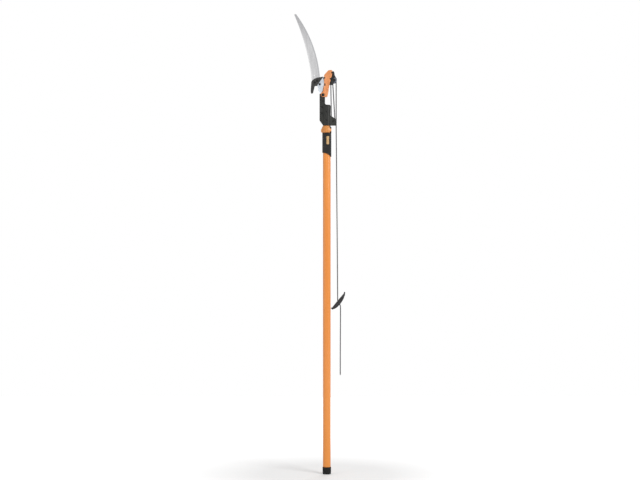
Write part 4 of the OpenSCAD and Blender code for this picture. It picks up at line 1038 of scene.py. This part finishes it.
def recessCutter(setup, place):
    size, deep = setup["size"], 2 * setup["depth"]
    deselectAll()
    if setup["kind"] == "hex":
        bpy.ops.mesh.primitive_cylinder_add(vertices=6, radius=size, depth=deep, location=place,
                                            rotation=(math.radians(90), 0, 0))
        return bpy.context.object
    bars = []
    for wide, tall in ((size, size * crossBar), (size * crossBar, size)):
        deselectAll()
        bpy.ops.mesh.primitive_cube_add(size=1, location=place, scale=(wide, deep, tall))
        bars.append(bpy.context.object)
    combine(bars[0], bars[1], "UNION")
    return bars[0]


def recessedCopy(name, setup):
    piece = bpy.data.objects.new(name, cad[setup["node"]].data.copy())
    scene.collection.objects.link(piece)
    makeActive(piece)
    bpy.ops.mesh.customdata_custom_splitnormals_clear()
    setMode("EDIT")
    bpy.ops.mesh.select_all(action="SELECT")
    bpy.ops.mesh.remove_doubles(threshold=easing["seamGap"])
    setMode("OBJECT")
    for x, y, z in setup["at"]:
        combine(piece, recessCutter(setup, Vector((x, y, z))), "DIFFERENCE")
    makeActive(piece)
    bpy.ops.object.shade_smooth_by_angle(angle=math.radians(easing["crease"]))
    piece.data.materials.clear()
    piece.data.materials.append(finish[setup["finish"]])
    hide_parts(setup["node"])
    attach(piece, setup["body"])


for name, setup in recesses.items():
    recessedCopy(name, setup)
print("driver recesses cut")

# dark rubber pad in the slot of the lever's front cheek, a little below its face: painted shade that darkens
# the slot
padSetup = {
    "centre": Vector((-0.009, -0.01065, 1.848)),
    "radius": 0.00255,
    "spread": 0.0035,      # half the slot's straight length
    "thickness": 0.0029,
    "sides": 48,
    "edge": 0.0005,
    "edgeSteps": 3,
}
deselectAll()
bpy.ops.mesh.primitive_cylinder_add(vertices=padSetup["sides"], radius=padSetup["radius"],
                                    depth=padSetup["thickness"], location=padSetup["centre"],
                                    rotation=(math.radians(90), 0, 0))
slotShadePad = bpy.context.object
slotShadePad.name = "slotShadePad"
applyPlacement()
for end in (1, -1):
    unselectMesh("VERT")
    for vertex in slotShadePad.data.vertices:
        vertex.select = (vertex.co.z - padSetup["centre"].z) * end > -nearly
    setMode("EDIT")
    bpy.ops.transform.translate(value=(0, 0, end * padSetup["spread"]))
    setMode("OBJECT")
unselectMesh("EDGE")
padFront = padSetup["centre"].y - padSetup["thickness"] / 2 + nearly
for edge in slotShadePad.data.edges:
    edge.select = all(slotShadePad.data.vertices[v].co.y < padFront for v in edge.vertices)
setMode("EDIT")
bpy.ops.mesh.bevel(offset=padSetup["edge"], segments=padSetup["edgeSteps"], affect="EDGES")
setMode("OBJECT")
bpy.ops.object.shade_smooth_by_angle(angle=math.radians(easing["crease"]))
slotShadePad.data.materials.append(finish["capRubber"])
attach(slotShadePad, "lever")
print("slot shade pad set")

# stage: white surroundings, a pale floor that keeps the shadow, and soft lamps
stageSetup = {
    "floorSize": 7,
    "floorDrop": 0.0002,
    "floorColour": (0.9, 0.9, 0.9, 1),
    "floorRough": 0.9,
    "floorLift": 0.16,     # glow that diffuse rays miss, near the tool and far out
    "farLift": 0.8,
    "liftFrom": 0.3,       # metres from the tool between which it rises
    "liftTo": 1.4,
    "worldLight": 0.42,
    "lamps": [
        # name, place, aim, size, watts
        ("keyLamp", (3.0, -3.4, 3.2), (0, 0, 1.2), 2.4, 120),
        ("fillLamp", (-3.6, -2.8, 1.6), (0, 0, 1.1), 3.0, 26),
        ("backLamp", (0.8, 3.4, 3.0), (0, 0, 1.2), 2.6, 40),
    ],
}


def seenRays(tree):
    rays = tree.nodes.new("ShaderNodeLightPath")
    seen = mathNode(tree, "MAXIMUM", rays.outputs["Is Camera Ray"], rays.outputs["Is Glossy Ray"])
    return mathNode(tree, "MAXIMUM", seen, rays.outputs["Is Transmission Ray"])


world = bpy.data.worlds.new("whiteRoom")
world.use_nodes = True
scene.world = world
worldTree = world.node_tree
lit = worldTree.nodes["Background"]
lit.inputs["Color"].default_value = (1, 1, 1, 1)
lit.inputs["Strength"].default_value = stageSetup["worldLight"]
white = worldTree.nodes.new("ShaderNodeBackground")
white.inputs["Color"].default_value = (1, 1, 1, 1)
white.inputs["Strength"].default_value = 1
choose = worldTree.nodes.new("ShaderNodeMixShader")
worldTree.links.new(seenRays(worldTree), choose.inputs[0])
worldTree.links.new(lit.outputs[0], choose.inputs[1])
worldTree.links.new(white.outputs[0], choose.inputs[2])
worldTree.links.new(choose.outputs[0], worldTree.nodes["World Output"].inputs["Surface"])

deselectAll()
bpy.ops.mesh.primitive_plane_add(size=stageSetup["floorSize"], location=(0, 0, -stageSetup["floorDrop"]))
floor = bpy.context.object
floor.name = "floor"
floorFinish, floorTree, floorShader = newFinish("paleFloor")
floorShader.inputs["Base Color"].default_value = stageSetup["floorColour"]
floorShader.inputs["Roughness"].default_value = stageSetup["floorRough"]
floorShader.inputs["Specular IOR Level"].default_value = 0
floorShader.inputs["Emission Color"].default_value = (1, 1, 1, 1)
floorCoord = floorTree.nodes.new("ShaderNodeTexCoord")
floorReach = floorTree.nodes.new("ShaderNodeVectorMath")
floorReach.operation = "LENGTH"
floorTree.links.new(floorCoord.outputs["Object"], floorReach.inputs[0])
farOut = spread(floorTree, floorReach.outputs["Value"], stageSetup["floorLift"], stageSetup["farLift"],
                stageSetup["liftFrom"], stageSetup["liftTo"])
lift = mathNode(floorTree, "MULTIPLY", seenRays(floorTree), farOut)
floorTree.links.new(lift, floorShader.inputs["Emission Strength"])
floor.data.materials.append(floorFinish)

for name, place, aim, size, watts in stageSetup["lamps"]:
    lampData = bpy.data.lights.new(name, "AREA")
    lampData.shape = "DISK"
    lampData.size = size
    lampData.energy = watts
    lamp = bpy.data.objects.new(name, lampData)
    lamp.location = place
    lamp.rotation_euler = (Vector(aim) - Vector(place)).to_track_quat("-Z", "Y").to_euler()
    scene.collection.objects.link(lamp)
scene.view_settings.view_transform = "Standard"
print("stage lit")
